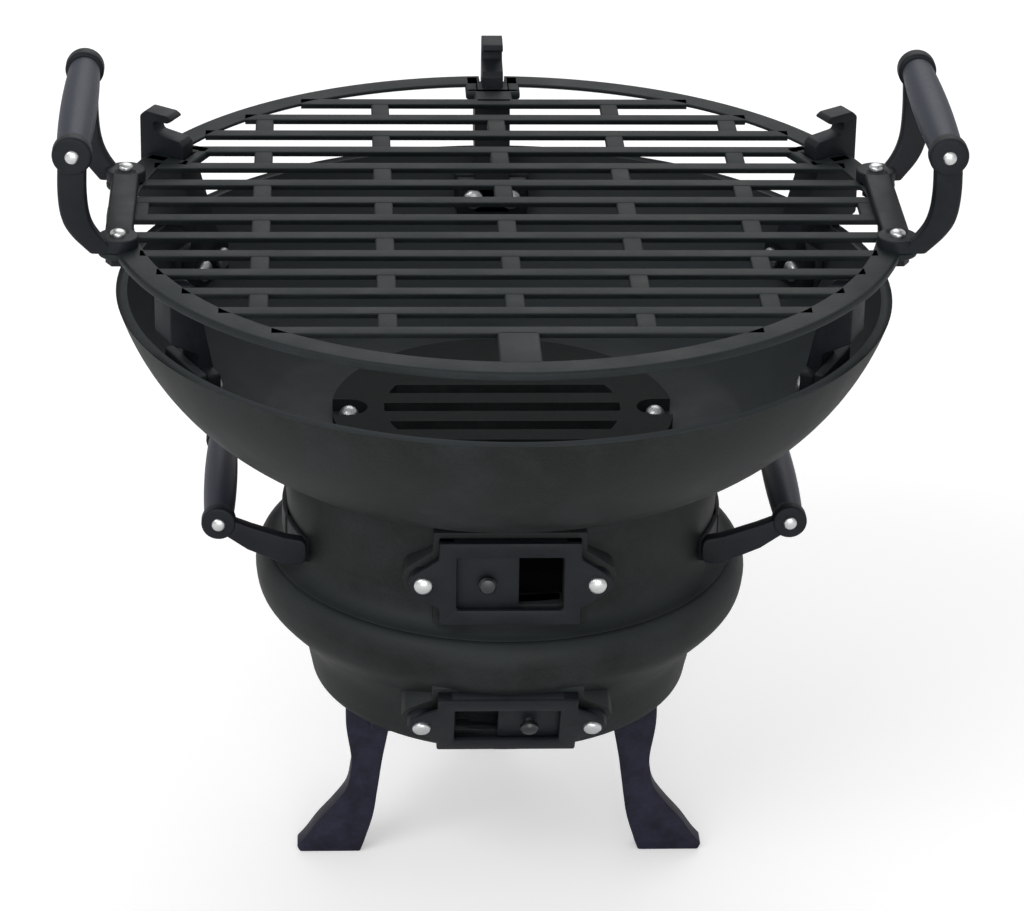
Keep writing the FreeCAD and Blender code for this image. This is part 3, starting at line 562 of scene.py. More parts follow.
def settle(name, mesh, nodes):
    """Put a finished mesh into the scene on its nodes' body."""
    if not mesh.polygons:
        raise RuntimeError(name + " has no faces")
    mesh.shade_smooth()
    mesh.set_sharp_from_angle(angle=SMOOTH_ANGLE)
    obj = bpy.data.objects.new(name, mesh)
    bpy.context.scene.collection.objects.link(obj)
    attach(obj, frame["nodes"][nodes[0]]["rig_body"])
    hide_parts(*nodes)
    return obj


# Geometry Nodes
def node_tree(name, inputs):
    """A Geometry Nodes tree with named inputs; returns the tree and its input node."""
    tree = bpy.data.node_groups.new(name, "GeometryNodeTree")
    tree.interface.new_socket("Geometry", in_out="INPUT", socket_type="NodeSocketGeometry")
    for label, kind in inputs:
        tree.interface.new_socket(label, in_out="INPUT", socket_type="NodeSocket" + kind)
    tree.interface.new_socket("Geometry", in_out="OUTPUT", socket_type="NodeSocketGeometry")
    return tree, add_node(tree, "NodeGroupInput")


def end_tree(tree, instances, material):
    """End a tree with real geometry in one material."""
    real = add_node(tree, "GeometryNodeRealizeInstances", None, {"Geometry": instances})
    dressed = add_node(tree, "GeometryNodeSetMaterial", None, {
        "Geometry": real.outputs["Geometry"], "Material": material})
    add_node(tree, "NodeGroupOutput", None, {"Geometry": dressed.outputs["Geometry"]})


def grown(bm, tree, values):
    """Run a tree on a shape and return the plain mesh that it makes."""
    mesh = bpy.data.meshes.new("seed")
    bm.to_mesh(mesh)
    bm.free()
    return grown_from(mesh, tree, values)


def grown_from(mesh, tree, values):
    """Run a tree on a mesh, which is used up, and return the plain mesh that it makes."""
    obj = bpy.data.objects.new("seed", mesh)
    modifier = obj.modifiers.new("grow", "NODES")
    modifier.node_group = tree
    for item in tree.interface.items_tree:
        if item.in_out == "INPUT" and item.name in values:
            modifier[item.identifier] = values[item.name]
    bpy.context.scene.collection.objects.link(obj)
    bpy.context.view_layer.update()
    result = bpy.data.meshes.new_from_object(obj.evaluated_get(bpy.context.evaluated_depsgraph_get()))
    obj.modifiers.remove(modifier)
    bpy.data.objects.remove(obj)
    bpy.data.meshes.remove(mesh)
    return result


def bar_tree():
    """Bars on a line, each as long as the chord of the ring where it lies."""
    tree, given = node_tree("grate_bars", [
        ("Count", "Int"), ("Pitch", "Float"), ("First", "Float"), ("Reach", "Float"), ("Height", "Float"),
        ("Finish", "Material")])
    g = given.outputs
    forward = add_node(tree, MATHS, TIMES, {0: g["Pitch"], 1: -1.0}).outputs[0]
    start = add_node(tree, COMBINE, None, {"Y": g["First"], "Z": g["Height"]}).outputs[0]
    step = add_node(tree, COMBINE, None, {"Y": forward}).outputs[0]
    line = add_node(tree, "GeometryNodeMeshLine", {"mode": "OFFSET"}, {
        "Count": g["Count"], "Start Location": start, "Offset": step})
    where = add_node(tree, "GeometryNodeInputPosition").outputs[0]
    y = add_node(tree, "ShaderNodeSeparateXYZ", None, {0: where}).outputs["Y"]
    y_square = add_node(tree, MATHS, TIMES, {0: y, 1: y}).outputs[0]
    reach_square = add_node(tree, MATHS, TIMES, {0: g["Reach"], 1: g["Reach"]}).outputs[0]
    half_square = add_node(tree, MATHS, MINUS, {0: reach_square, 1: y_square}).outputs[0]
    half = add_node(tree, MATHS, {"operation": "SQRT"}, {0: half_square}).outputs[0]
    chord = add_node(tree, MATHS, TIMES, {0: half, 1: 2.0}).outputs[0]
    scale = add_node(tree, COMBINE, None, {"X": chord, "Y": 1.0, "Z": 1.0}).outputs[0]
    bars = add_node(tree, "GeometryNodeInstanceOnPoints", None, {
        "Points": line.outputs["Mesh"], "Instance": g["Geometry"], "Scale": scale})
    end_tree(tree, bars.outputs[0], g["Finish"])
    return tree


def web_tree():
    """Webs on a brickwork grid, kept where they lie inside the ring."""
    tree, given = node_tree("grate_webs", [
        ("Rows", "Int"), ("Columns", "Int"), ("Pitch", "Float"), ("Spacing", "Float"), ("Middle", "Float"),
        ("Reach", "Float"), ("Height", "Float"), ("Finish", "Material")])
    g = given.outputs
    row_gaps = add_node(tree, MATHS, MINUS, {0: g["Rows"], 1: 1.0}).outputs[0]
    column_gaps = add_node(tree, MATHS, MINUS, {0: g["Columns"], 1: 1.0}).outputs[0]
    depth = add_node(tree, MATHS, TIMES, {0: row_gaps, 1: g["Pitch"]}).outputs[0]
    width = add_node(tree, MATHS, TIMES, {0: column_gaps, 1: g["Spacing"]}).outputs[0]
    grid = add_node(tree, "GeometryNodeMeshGrid", None, {
        "Size X": width, "Size Y": depth, "Vertices X": g["Columns"], "Vertices Y": g["Rows"]})
    where = add_node(tree, "GeometryNodeInputPosition").outputs[0]
    y = add_node(tree, "ShaderNodeSeparateXYZ", None, {0: where}).outputs["Y"]
    # every second row, counted from the front, is shifted by half a step
    half_depth = add_node(tree, MATHS, TIMES, {0: depth, 1: 0.5}).outputs[0]
    from_front = add_node(tree, MATHS, PLUS, {0: y, 1: half_depth}).outputs[0]
    rows_on = add_node(tree, MATHS, {"operation": "DIVIDE"}, {0: from_front, 1: g["Pitch"]}).outputs[0]
    row = add_node(tree, MATHS, {"operation": "ROUND"}, {0: rows_on}).outputs[0]
    odd = add_node(tree, MATHS, {"operation": "MODULO"}, {0: row, 1: 2.0}).outputs[0]
    even = add_node(tree, MATHS, MINUS, {0: 1.0, 1: odd}).outputs[0]
    half_step = add_node(tree, MATHS, TIMES, {0: g["Spacing"], 1: 0.5}).outputs[0]
    shift = add_node(tree, MATHS, TIMES, {0: even, 1: half_step}).outputs[0]
    offset = add_node(tree, COMBINE, None, {"X": shift, "Y": g["Middle"], "Z": g["Height"]}).outputs[0]
    laid = add_node(tree, "GeometryNodeSetPosition", None, {
        "Geometry": grid.outputs["Mesh"], "Offset": offset})
    level = add_node(tree, COMBINE, None, {"Z": g["Height"]}).outputs[0]
    from_axis = add_node(tree, "ShaderNodeVectorMath", {"operation": "DISTANCE"}, {0: where, 1: level})
    outside = add_node(tree, MATHS, {"operation": "GREATER_THAN"}, {
        0: from_axis.outputs["Value"], 1: g["Reach"]}).outputs[0]
    kept = add_node(tree, "GeometryNodeDeleteGeometry", {"domain": "POINT"}, {
        "Geometry": laid.outputs["Geometry"], "Selection": outside})
    webs = add_node(tree, "GeometryNodeInstanceOnPoints", None, {
        "Points": kept.outputs["Geometry"], "Instance": g["Geometry"]})
    end_tree(tree, webs.outputs[0], g["Finish"])
    return tree


def bolt_tree():
    """One fastener at every point, turned to the point's own axis."""
    tree, given = node_tree("fasteners", [("Fastener", "Object"), ("Finish", "Material")])
    g = given.outputs
    master = add_node(tree, "GeometryNodeObjectInfo", None, {"Object": g["Fastener"]})
    axis = add_node(tree, "GeometryNodeInputNamedAttribute", {"data_type": "FLOAT_VECTOR"}, {"Name": "axis"})
    facing = add_node(tree, "FunctionNodeAlignRotationToVector", {"axis": "Z"}, {
        "Vector": axis.outputs["Attribute"]})
    placed = add_node(tree, "GeometryNodeInstanceOnPoints", None, {
        "Points": g["Geometry"], "Instance": master.outputs["Geometry"],
        "Rotation": facing.outputs["Rotation"]})
    end_tree(tree, placed.outputs[0], g["Finish"])
    return tree


# Pieces
class GRILL_OT_cooking_grate(Operator):
    """Make the cooking grate: a rounded ring in three arcs, bars, brickwork webs and the notches' pads"""
    bl_idname = "grill.cooking_grate"
    bl_label = "Cooking Grate"

    def execute(self, context):
        s = context.scene.grill_sizes
        inner = s.ring_r - s.ring_w
        first_bar = inner - s.back_slot - s.bar_w / 2
        whole = joined(self.ring(s, inner) + self.lugs(s) + self.middle_ribs(s, inner, first_bar))
        iron = finish("grate_iron")
        into_ring, web_clear = 2.5 * MM, 1 * MM
        web_columns = 5
        bars = grown(self.bar(s), bar_tree(), {
            "Count": s.bar_count, "Pitch": s.bar_pitch, "First": first_bar, "Reach": inner + into_ring,
            "Height": s.grate_top, "Finish": iron})
        rows = s.bar_count - 1
        webs = grown(self.web(s), web_tree(), {
            "Rows": rows, "Columns": web_columns, "Pitch": s.bar_pitch, "Spacing": s.web_pitch,
            "Middle": first_bar - rows * s.bar_pitch / 2, "Reach": inner - web_clear,
            "Height": s.grate_top, "Finish": iron})
        for mesh in (bars, webs):
            whole.from_mesh(mesh)
            bpy.data.meshes.remove(mesh)
        piece("cast_grate", whole, ["cooking_grate"], "grate_iron")
        return {"FINISHED"}

    def ring(self, s, inner):
        """Three arcs with a notch for each hook between them, and the pads round the notches."""
        low, top = s.grate_top - s.grate_t, s.grate_top
        notch, pad_half = 6 * MM, 13 * MM
        pad_in, pad_out, cheek_in, cheek_out = metres(154, 159, 154.5, 176)
        # the ring slopes away below its inner edge, so that the slot at the back stays open to the eye
        thin, slope, ring_edge = metres(1.4, 6, 1.6)
        degrees_per_step = 2.5
        gap = math.degrees(math.asin(notch / (s.ring_r - s.ring_w / 2)))
        section = [(inner + slope, low), (s.ring_r, low), (s.ring_r, top), (inner, top), (inner, top - thin)]
        crown = rounded(section, ring_edge)
        turns = sorted(90 + t for t in HOOK_TURNS.values())
        shapes = []
        for first, second in zip(turns, turns[1:] + [turns[0] + 360]):
            steps = max(12, round((second - first) / degrees_per_step))
            shapes.append(turn(crown, steps, arc=(first + gap, second - gap)))
        for degrees in HOOK_TURNS.values():
            across = block((-pad_half, pad_in, low), (pad_half, pad_out, top), s.edge)
            shapes.append(moved(across, about_z(degrees)))
            for way in SIDES:
                x0, x1 = span(way, notch, pad_half)
                cheek = block((x0, cheek_in, low), (x1, cheek_out, top), s.edge)
                shapes.append(moved(cheek, about_z(degrees)))
        return shapes

    def lugs(self, s):
        """Round lugs under the upper handles' feet."""
        low, high = s.grate_top - s.grate_t, s.grate_top - UPPER_FOOT_SUNK
        places = [Matrix.Translation((x * UPPER_FOOT_X, y * UPPER_FOOT_Y, 0)) for x in SIDES for y in SIDES]
        return [disc(UPPER_FOOT_R, low, high, s.edge, place) for place in places]

    def middle_ribs(self, s, inner, first_bar):
        """Two wide ribs that tie the first and the last bar to the ring."""
        half, overlap = 9 * MM, 2 * MM
        low, top = s.grate_top - s.grate_t, s.grate_top
        last_edge = first_bar - (s.bar_count - 1) * s.bar_pitch - s.bar_w / 2
        reaches = ((first_bar, inner + overlap), (-inner - overlap, last_edge + overlap))
        return [block((-half, y0, low), (half, y1, top), s.edge) for y0, y1 in reaches]

    def bar(self, s):
        """One bar of unit length: flat on top, with sides that taper downwards."""
        half, upright, bar_edge = s.bar_w / 2, 0.7 * MM, 0.6 * MM
        section = [(-half / 2, -s.bar_t), (half / 2, -s.bar_t), (half, -upright), (half, 0), (-half, 0),
                   (-half, -upright)]
        return extrude(rounded(section, bar_edge, steps=2), -0.5, 0.5, lambda u, v, d: Vector((d, u, v)), 0)

    def web(self, s):
        """One web, which reaches a little into the bars on both sides and lies just below their tops."""
        overlap, below, web_edge = metres(1.5, 0.2, 0.9)
        half = (s.bar_pitch - s.bar_w) / 2 + overlap
        return block((-s.web_w / 2, -half, -s.bar_t), (s.web_w / 2, half, -below), web_edge)


class GRILL_OT_fire_bowl(Operator):
    """Make the fire bowl: a turned shell with a rolled rim, and the brackets' seats inside"""
    bl_idname = "grill.fire_bowl"
    bl_label = "Fire Bowl"

    def execute(self, context):
        s = context.scene.grill_sizes
        floor_r, belly_in, belly_z, rim_roll = metres(108, 19.9, 231, 1.4)
        belly_r = s.rim_r - belly_in
        floor_top = FLOOR_Z + BOWL_WALL
        outer = circle_through((floor_r, FLOOR_Z), (belly_r, belly_z), (s.rim_r, s.rim_z))
        inner = circle_through((floor_r, floor_top), (belly_r - BOWL_WALL, belly_z + BOWL_WALL / 2),
                               (s.rim_r - BOWL_WALL, s.rim_z))
        lip = bulged(outer[-1], inner[-1], -rim_roll, steps=6)[1:-1]
        mouth = [(MOUTH_R, floor_top), (MOUTH_R, FLOOR_Z)]
        shapes = [turn(outer + lip + inner[::-1] + mouth, steps=160)]
        half, seat_out, seat_low, seat_high = metres(18, 159.5, 240, 261)
        for degrees in HOLDER_TURNS:
            seat = block((-half, SEAT_IN, seat_low), (half, seat_out, seat_high), s.edge)
            shapes.append(moved(seat, about_z(degrees)))
        # the bowl's inside gets paler upward faces: ash and painted light
        piece("cast_fire_bowl", joined(shapes), ["top_bowl"], "barrel_iron", "ashy_lit_iron")
        return {"FINISHED"}


class GRILL_OT_holders(Operator):
    """Make the three hook brackets and the two plain front rests"""
    bl_idname = "grill.holders"
    bl_label = "Brackets and Rests"

    def execute(self, context):
        s = context.scene.grill_sizes
        foot_half, post_half, blade_half, post_edge, blade_edge = metres(17, 8.5, 5, 2.2, 2)
        foot_high = HOLDER_FOOT_LOW + HOLDER_FOOT_H

        def radial(u, v, depth):
            return Vector((depth, u, v))

        for kind, turns in (("hook_bracket", HOOK_TURNS), ("front_rest", REST_TURNS)):
            for side, degrees in turns.items():
                foot = block((-foot_half, HOLDER_FOOT_IN, HOLDER_FOOT_LOW),
                             (foot_half, SEAT_IN, foot_high), s.edge)
                post = rounded(self.post(s, kind), post_edge, steps=3)
                shapes = [foot, extrude(post, -post_half, post_half, radial, s.edge)]
                if kind == "hook_bracket":
                    blade = rounded(self.blade(s), blade_edge, steps=3)
                    shapes.append(extrude(blade, -blade_half, blade_half, radial, s.edge))
                name = "%s_%s" % (kind, side)
                piece("cast_" + name, moved(joined(shapes), about_z(degrees)), [name], "fitting_iron")
        return {"FINISHED"}

    def post(self, s, kind):
        """The side outline of a post: up the seat, then over the bowl's rim or straight up to the ring."""
        rim_gap, seat_drop, hook_rise, rest_rise = metres(1.5, 3.5, 4.5, 4)
        ring_low, over = s.grate_top - s.grate_t, s.rim_z + rim_gap
        foot_high = HOLDER_FOOT_LOW + HOLDER_FOOT_H
        outline = [(HOLDER_FOOT_IN, HOLDER_FOOT_LOW), (SEAT_IN, HOLDER_FOOT_LOW), (SEAT_IN, over - seat_drop)]
        if kind == "hook_bracket":
            outline += [(HOOK_IN, over), (s.rim_r, over), (HOOK_OUT, over + hook_rise), (HOOK_OUT, ring_low),
                        (HOOK_IN, ring_low)]
        else:
            rest_in, rest_out = metres(156, 168)
            outline += [(rest_out, over + rest_rise), (rest_out, ring_low), (rest_in, ring_low)]
        return outline + [(HOLDER_FOOT_IN, foot_high)]

    def blade(self, s):
        """The side outline of a hook: a thin blade through the ring's notch, with a tip turned inwards."""
        into_post = 2 * MM
        low, top = s.grate_top - s.grate_t - into_post, s.grate_top
        # millimetres from the blade's outer or inner face and from the cooking surface
        tip = [(0, 17.5), (-2.5, 20), (-14, 19), (-17, 17), (-14, 15.4), (-6.5, 15.8), (-7.5, 9.5)]
        heel = [(2, 7.5), (0, 5.5)]
        outline = [(HOOK_IN, low), (HOOK_OUT, low)]
        outline += [(HOOK_OUT + u * MM, top + v * MM) for u, v in tip]
        return outline + [(HOOK_IN + u * MM, top + v * MM) for u, v in heel]


def vent_outlines(margin):
    """The vent's outer outline with its ears, and the window, with equal numbers of points."""
    half_w, half_h, ear = VENT_HALF_W + margin, VENT_HALF_H + margin, VENT_EAR_R + margin
    open_w, open_h = WINDOW_HALF_W, WINDOW_HALF_H
    ear_turns = (72, 36, 0, -36, -72)
    shoulder, corner_across, corner_up = half_h * 0.6, open_w * 0.7, open_h * 0.9
    outer, inner = [], []
    for side in (1, -1):
        frame_line = [(half_w - ear, half_h), (half_w, half_h), (half_w, shoulder)]
        for degrees in ear_turns:
            a = math.radians(degrees)
            frame_line.append((VENT_EAR_X + ear * math.cos(a), ear * math.sin(a)))
        frame_line += [(half_w, -shoulder), (half_w, -half_h), (half_w - ear, -half_h)]
        hole = [(corner_across, open_h), (open_w, open_h), (open_w, corner_up)]
        hole += [(open_w, open_h * degrees / 90) for degrees in ear_turns]
        hole += [(open_w, -corner_up), (open_w, -open_h), (corner_across, -open_h)]
        outer += [(side * u, side * v) for u, v in frame_line]
        inner += [(side * u, side * v) for u, v in hole]
    return outer, inner


def vent_place(name):
    """Where a vent's seat lies; its outward side is towards -Y of the place."""
    y, z, tilt = VENT_SEATS[name]
    return Matrix.Translation((0, y, z)) @ Matrix.Rotation(math.radians(tilt), 4, "X")


def vent_pad(name, depth):
    """The raised seat behind a vent's frame, a little larger than the frame."""
    margin, pad_edge = 2.5 * MM, 0.8 * MM
    outer, inner = vent_outlines(margin)
    return moved(window_plate(outer, inner, 0, depth, pad_edge), vent_place(name))


def vent_hole(name):
    """The cutter for the air window in the wall behind a vent's seat."""
    ahead, behind = 20 * MM, 40 * MM
    hole = block((-WINDOW_HALF_W, -ahead, -WINDOW_HALF_H), (WINDOW_HALF_W, behind, WINDOW_HALF_H), 0)
    return moved(hole, vent_place(name))


class GRILL_OT_collar(Operator):
    """Make the collar: a tapered drum with a flared foot, a spigot, the vent's seat and the handles' pads"""
    bl_idname = "grill.collar"
    bl_label = "Collar"

    def execute(self, context):
        s = context.scene.grill_sizes
        # radius and height in millimetres
        low, high, plate, spigot = 141.5, FLOOR_Z / MM, 6, 8
        mouth_r = MOUTH_R / MM
        flare = [(107.4, 142.2), (103.6, 143.6), (100.6, 146.2), (98.9, 150), (98.2, 156)]
        foot = smooth_line(flare, steps=5)
        roof = [(101, high), (mouth_r, high), (mouth_r, high - plate), (95, high - plate)]
        inside = [(91, low + plate), (88, low + plate), (88, low - spigot), (93, low - spigot), (93, low)]
        wall = [metres(*p) for p in [(107, low)] + foot + roof + inside]
        wall_edge, vent_depth = 0.9 * MM, 12 * MM
        drum = cut_window(turn(rounded(wall, wall_edge, steps=2)), vent_hole("mid"))
        shapes = [drum, vent_pad("mid", vent_depth)]
        pad_out, pad_half = 99.4 * MM, 22 * MM
        for way in SIDES:
            x0, x1 = span(way, PAD_IN, pad_out)
            shapes.append(block((x0, -pad_half, SADDLE_LOW), (x1, pad_half, SADDLE_HIGH), s.edge))
        piece("cast_collar", joined(shapes), ["collar"], "barrel_iron")
        return {"FINISHED"}


class GRILL_OT_lower_bowl(Operator):
    """Make the lower bowl: a heel, a waist, a swelling bead under the seam and the vent's sloping seat"""
    bl_idname = "grill.lower_bowl"
    bl_label = "Lower Bowl"

    def execute(self, context):
        # radius and height in millimetres
        heel = [(76.5, 73), (82, 74), (86.5, 77.5), (88.2, 84)]
        waist = [(91.5, 97), (97.5, 106), (106, 114.5)]
        bead = [(111.3, 121.5), (113, 129), (112.8, 134), (111.2, 138.3), (108.8, 140.8), (107, 141.4)]
        inside = [(93.5, 141.4), (93.5, 122), (83, 97), (79.5, 85), (70.5, 79), (0, 79), (0, 73)]
        outline = [metres(*p) for p in smooth_line(heel + waist + bead, steps=5) + inside]
        vent_depth = 16 * MM
        shell = cut_window(turn(outline), vent_hole("lower"))
        whole = joined([shell, vent_pad("lower", vent_depth)])
        piece("cast_lower_bowl", whole, ["lower_bowl"], "barrel_iron")
        return {"FINISHED"}


class GRILL_OT_vents(Operator):
    """Make the two air vents: frame, sliding shutter and turned knob"""
    bl_idname = "grill.vents"
    bl_label = "Air Vents"

    def execute(self, context):
        plate_half_w, plate_half_h, plate_front, plate_back, plate_edge = metres(14, 15, 2.7, 0.3, 0.5)
        shutter_x = 10 * MM
        # radius and height over the plate, in millimetres
        knob_line = [(0, 0), (2.6, 0), (2.2, 1.3), (3.4, 2.0), (4.2, 3.0), (4.1, 4.4), (3.2, 5.5), (1.6, 6.0),
                     (0, 6.0)]
        for name, side in (("mid", -1), ("lower", 1)):
            place = vent_place(name)
            vent_frame = moved(self.frame_shape(), place)
            piece("cast_%s_frame" % name, vent_frame, [name + "_vent_frame"], "fitting_iron")
            x = side * shutter_x
            plate = block((x - plate_half_w, -plate_front, -plate_half_h),
                          (x + plate_half_w, -plate_back, plate_half_h), plate_edge, segments=2)
            piece("plate_%s_shutter" % name, moved(plate, place), [name + "_shutter"], "fitting_iron")
            outward = Matrix.Translation((x, -plate_front, 0)) @ Matrix.Rotation(math.radians(90), 4, "X")
            knob = turn([metres(*p) for p in knob_line], steps=32, place=outward, closed=False)
            piece("turned_%s_knob" % name, moved(knob, place), [name + "_knob"], "knob_steel")
        return {"FINISHED"}

    def frame_shape(self):
        """A vent's frame: a face with a window, on rails that leave a channel for the shutter."""
        face_back, rail_t, rail_in, stile_in = metres(3, 4, 15.3, 24.3)
        face_edge, rail_edge, ear_r = metres(1, 0.5, 6.3)
        outer, inner = vent_outlines(0)
        shapes = [window_plate(outer, inner, -VENT_FACE, -face_back, face_edge)]
        for way in (1, -1):
            z0, z1 = span(way, rail_in, VENT_HALF_H)
            shapes.append(block((-VENT_HALF_W, -rail_t, z0), (VENT_HALF_W, 0, z1), rail_edge, segments=2))
        for way in (1, -1):
            x0, x1 = span(way, stile_in, VENT_HALF_W)
            shapes.append(block((x0, -rail_t, -VENT_HALF_H), (x1, 0, VENT_HALF_H), rail_edge, segments=2))
        for way in SIDES:
            place = along_y(way * VENT_EAR_X, -rail_t, 0)
            shapes.append(disc(ear_r, 0, rail_t, rail_edge, place, corner_steps=2))
        return joined(shapes)


def leg_place(name):
    """Where a leg stands; its foot points along +X of the place."""
    x, y, degrees = LEGS[name]
    return Matrix.Translation((x, y, 0)) @ about_z(degrees)


class GRILL_OT_legs(Operator):
    """Make the three S-curved legs with their tongues under the bowl"""
    bl_idname = "grill.legs"
    bl_label = "Legs"

    def execute(self, context):
        s = context.scene.grill_sizes
        # distance along the foot and height, in millimetres
        outer = [(10, 84), (10, 67), (7.6, 50), (8.1, 42), (10, 33.5), (15.8, 25), (23.3, 16), (29, 7.7),
                 (33, 3)]
        sole = [(31.5, 0), (3.4, 0)]
        inner = [(1.6, 5), (-2.5, 19), (-4.6, 33), (-6.8, 49), (-10, 67), (-10, 74)]
        line = smooth_line(outer, steps=6) + sole + smooth_line(inner, steps=6)
        outline = [metres(*p) for p in line]
        half, tongue_in, tongue_out, tongue_half, tongue_top = metres(5.5, 25, 1, 10, 73)
        for name in LEGS:
            plate = extrude(outline, -half, half, lambda u, v, d: Vector((u, d, v)), s.leg_edge)
            tongue = block((-tongue_in, -tongue_half, TONGUE_LOW),
                           (-tongue_out, tongue_half, tongue_top), s.edge)
            whole = moved(joined([plate, tongue]), leg_place(name))
            piece("cast_leg_" + name, whole, ["leg_" + name], "leg_iron")
        return {"FINISHED"}


def grip_axis(s, level):
    """The x and z of the rod through an upper or a lower grip."""
    return getattr(s, level + "_grip_x"), getattr(s, level + "_grip_z")


def eye(s, level, way):
    """A ring about a grip's rod; its bore stays sharp and its rim is rounded."""
    x, z = grip_axis(s, level)
    size = GRIPS[level]
    y0, y1 = span(way, *size["eye"])
    r, wide = size["eye_r"], y1 - y0
    rim = [p for p in rounded([(0, 0), (r, 0), (r, wide), (0, wide)], size["eye_edge"]) if p[0] > ROD_BORE]
    return turn([(ROD_BORE, 0)] + rim + [(ROD_BORE, wide)], steps=48, place=along_y(x, y0, z))


def barrel_grip(s, level):
    """A slightly barrel-shaped grip with rounded ends, turned about its rod."""
    x, z = grip_axis(s, level)
    half, r = GRIPS[level]["half"], GRIPS[level]["r"]
    # the ends are a little thinner than the middle
    end, end_slope, end_round = r * 0.86, 0.8 * MM, 1.2 * MM
    crown = bulged((end, end_slope - half), (end, half - end_slope), r - end, steps=24)
    front = [(ROD_BORE, -half), (end - end_round, -half)]
    back = [(end - end_round, half), (ROD_BORE, half)]
    return turn(front + crown + back, steps=64, place=along_y(x, 0, z))


def rounded_rectangle(x, y, z, wide, deep, r):
    """A level ring of points with rounded corners about a centre."""
    corners = [(-wide / 2, -deep / 2), (wide / 2, -deep / 2), (wide / 2, deep / 2), (-wide / 2, deep / 2)]
    return [Vector((x + u, y + v, z)) for u, v in rounded(corners, r, steps=3)]


class GRILL_OT_handles(Operator):
    """Make the upper and lower carrying handles and their grips"""
    bl_idname = "grill.handles"
    bl_label = "Handles and Grips"

    def execute(self, context):
        s = context.scene.grill_sizes
        for side, name in ((1, "right"), (-1, "left")):
            flip = Matrix.Scale(side, 4, (1, 0, 0))
            for level, shapes in (("upper", self.upper(s)), ("lower", self.lower(s))):
                node = "%s_handle_%s" % (level, name)
                piece("cast_" + node, moved(joined(shapes), flip), [node], "fitting_iron")
            for level in GRIPS:
                node = "%s_grip_%s" % (level, name)
                piece("turned_" + node, moved(barrel_grip(s, level), flip), [node], "grip")
        return {"FINISHED"}

    def upper(self, s):
        """A bar with two bolted feet, and two arms that sweep out and up to the eyes."""
        seat = s.grate_top - UPPER_FOOT_SUNK
        bar_in, bar_out, arm_wide, arm_deep, arm_edge = metres(165, 177, 12.6, 7, 2.4)
        shapes = [block((bar_in, -UPPER_FOOT_Y, seat), (bar_out, UPPER_FOOT_Y, seat + UPPER_FOOT_T), s.edge)]
        x, z = grip_axis(s, "upper")
        sweep = [(177, 44, 302), (184.5, 46.5, 311), (188.4, 49.5, 320), (189.6, 52.5, 333)]
        eye_middle = sum(GRIPS["upper"]["eye"]) / 2
        line = smooth_line([metres(*p) for p in sweep] + [(x, eye_middle, z)], steps=6)
        for way in SIDES:
            foot = Matrix.Translation((UPPER_FOOT_X, way * UPPER_FOOT_Y, seat))
            shapes.append(disc(UPPER_FOOT_R, 0, UPPER_FOOT_T, s.edge, foot, corner_steps=3, steps=40))
            rings = [rounded_rectangle(p.x, way * p.y, p.z, arm_wide, arm_deep, arm_edge) for p in line]
            shapes.append(loft(rings))
            shapes.append(eye(s, "upper", way))
        return shapes

    def lower(self, s):
        """A saddle that hugs the collar, and two plate arms that rise to the eyes."""
        saddle_in, saddle_out, half_end, arm_edge, sunk = metres(97.6, 100.8, 4, 4, 0.5)
        half_arc = 26
        saddle = [(saddle_in, SADDLE_LOW), (saddle_out, SADDLE_LOW), (saddle_out, SADDLE_HIGH),
                  (saddle_in, SADDLE_HIGH)]
        shapes = [turn(rounded(saddle, s.edge), steps=24, arc=(-half_arc, half_arc))]
        x, z = grip_axis(s, "lower")
        under = [metres(*p) for p in ((89.5, 150), (99, 150.5), (116, 158))]
        over = [metres(*p) for p in ((114, 169), (99, 163.8), (89.5, 162))]
        outline = rounded(under + [(x, z - half_end), (x, z + half_end)] + over, arm_edge, steps=3)
        for way in SIDES:
            y0, y1 = span(way, *GRIPS["lower"]["eye"])
            shapes.append(extrude(outline, y0 + sunk, y1 - sunk, lambda u, v, d: Vector((u, d, v)), s.edge))
            shapes.append(eye(s, "lower", way))
        return shapes


def bolt_shape(head_r, head_h, shank_r, reach):
    """A domed bolt whose head seats on the origin and points along +Z."""
    brim = 0.32
    dome = [(head_r * math.cos(a), head_h * (brim + (1 - brim) * math.sin(a)))
            for a in (math.radians(d) for d in range(0, 91, 15))]
    shank = [(0, -reach), (shank_r, -reach), (shank_r, 0), (head_r, 0)]
    return turn(shank + dome, steps=28, closed=False)


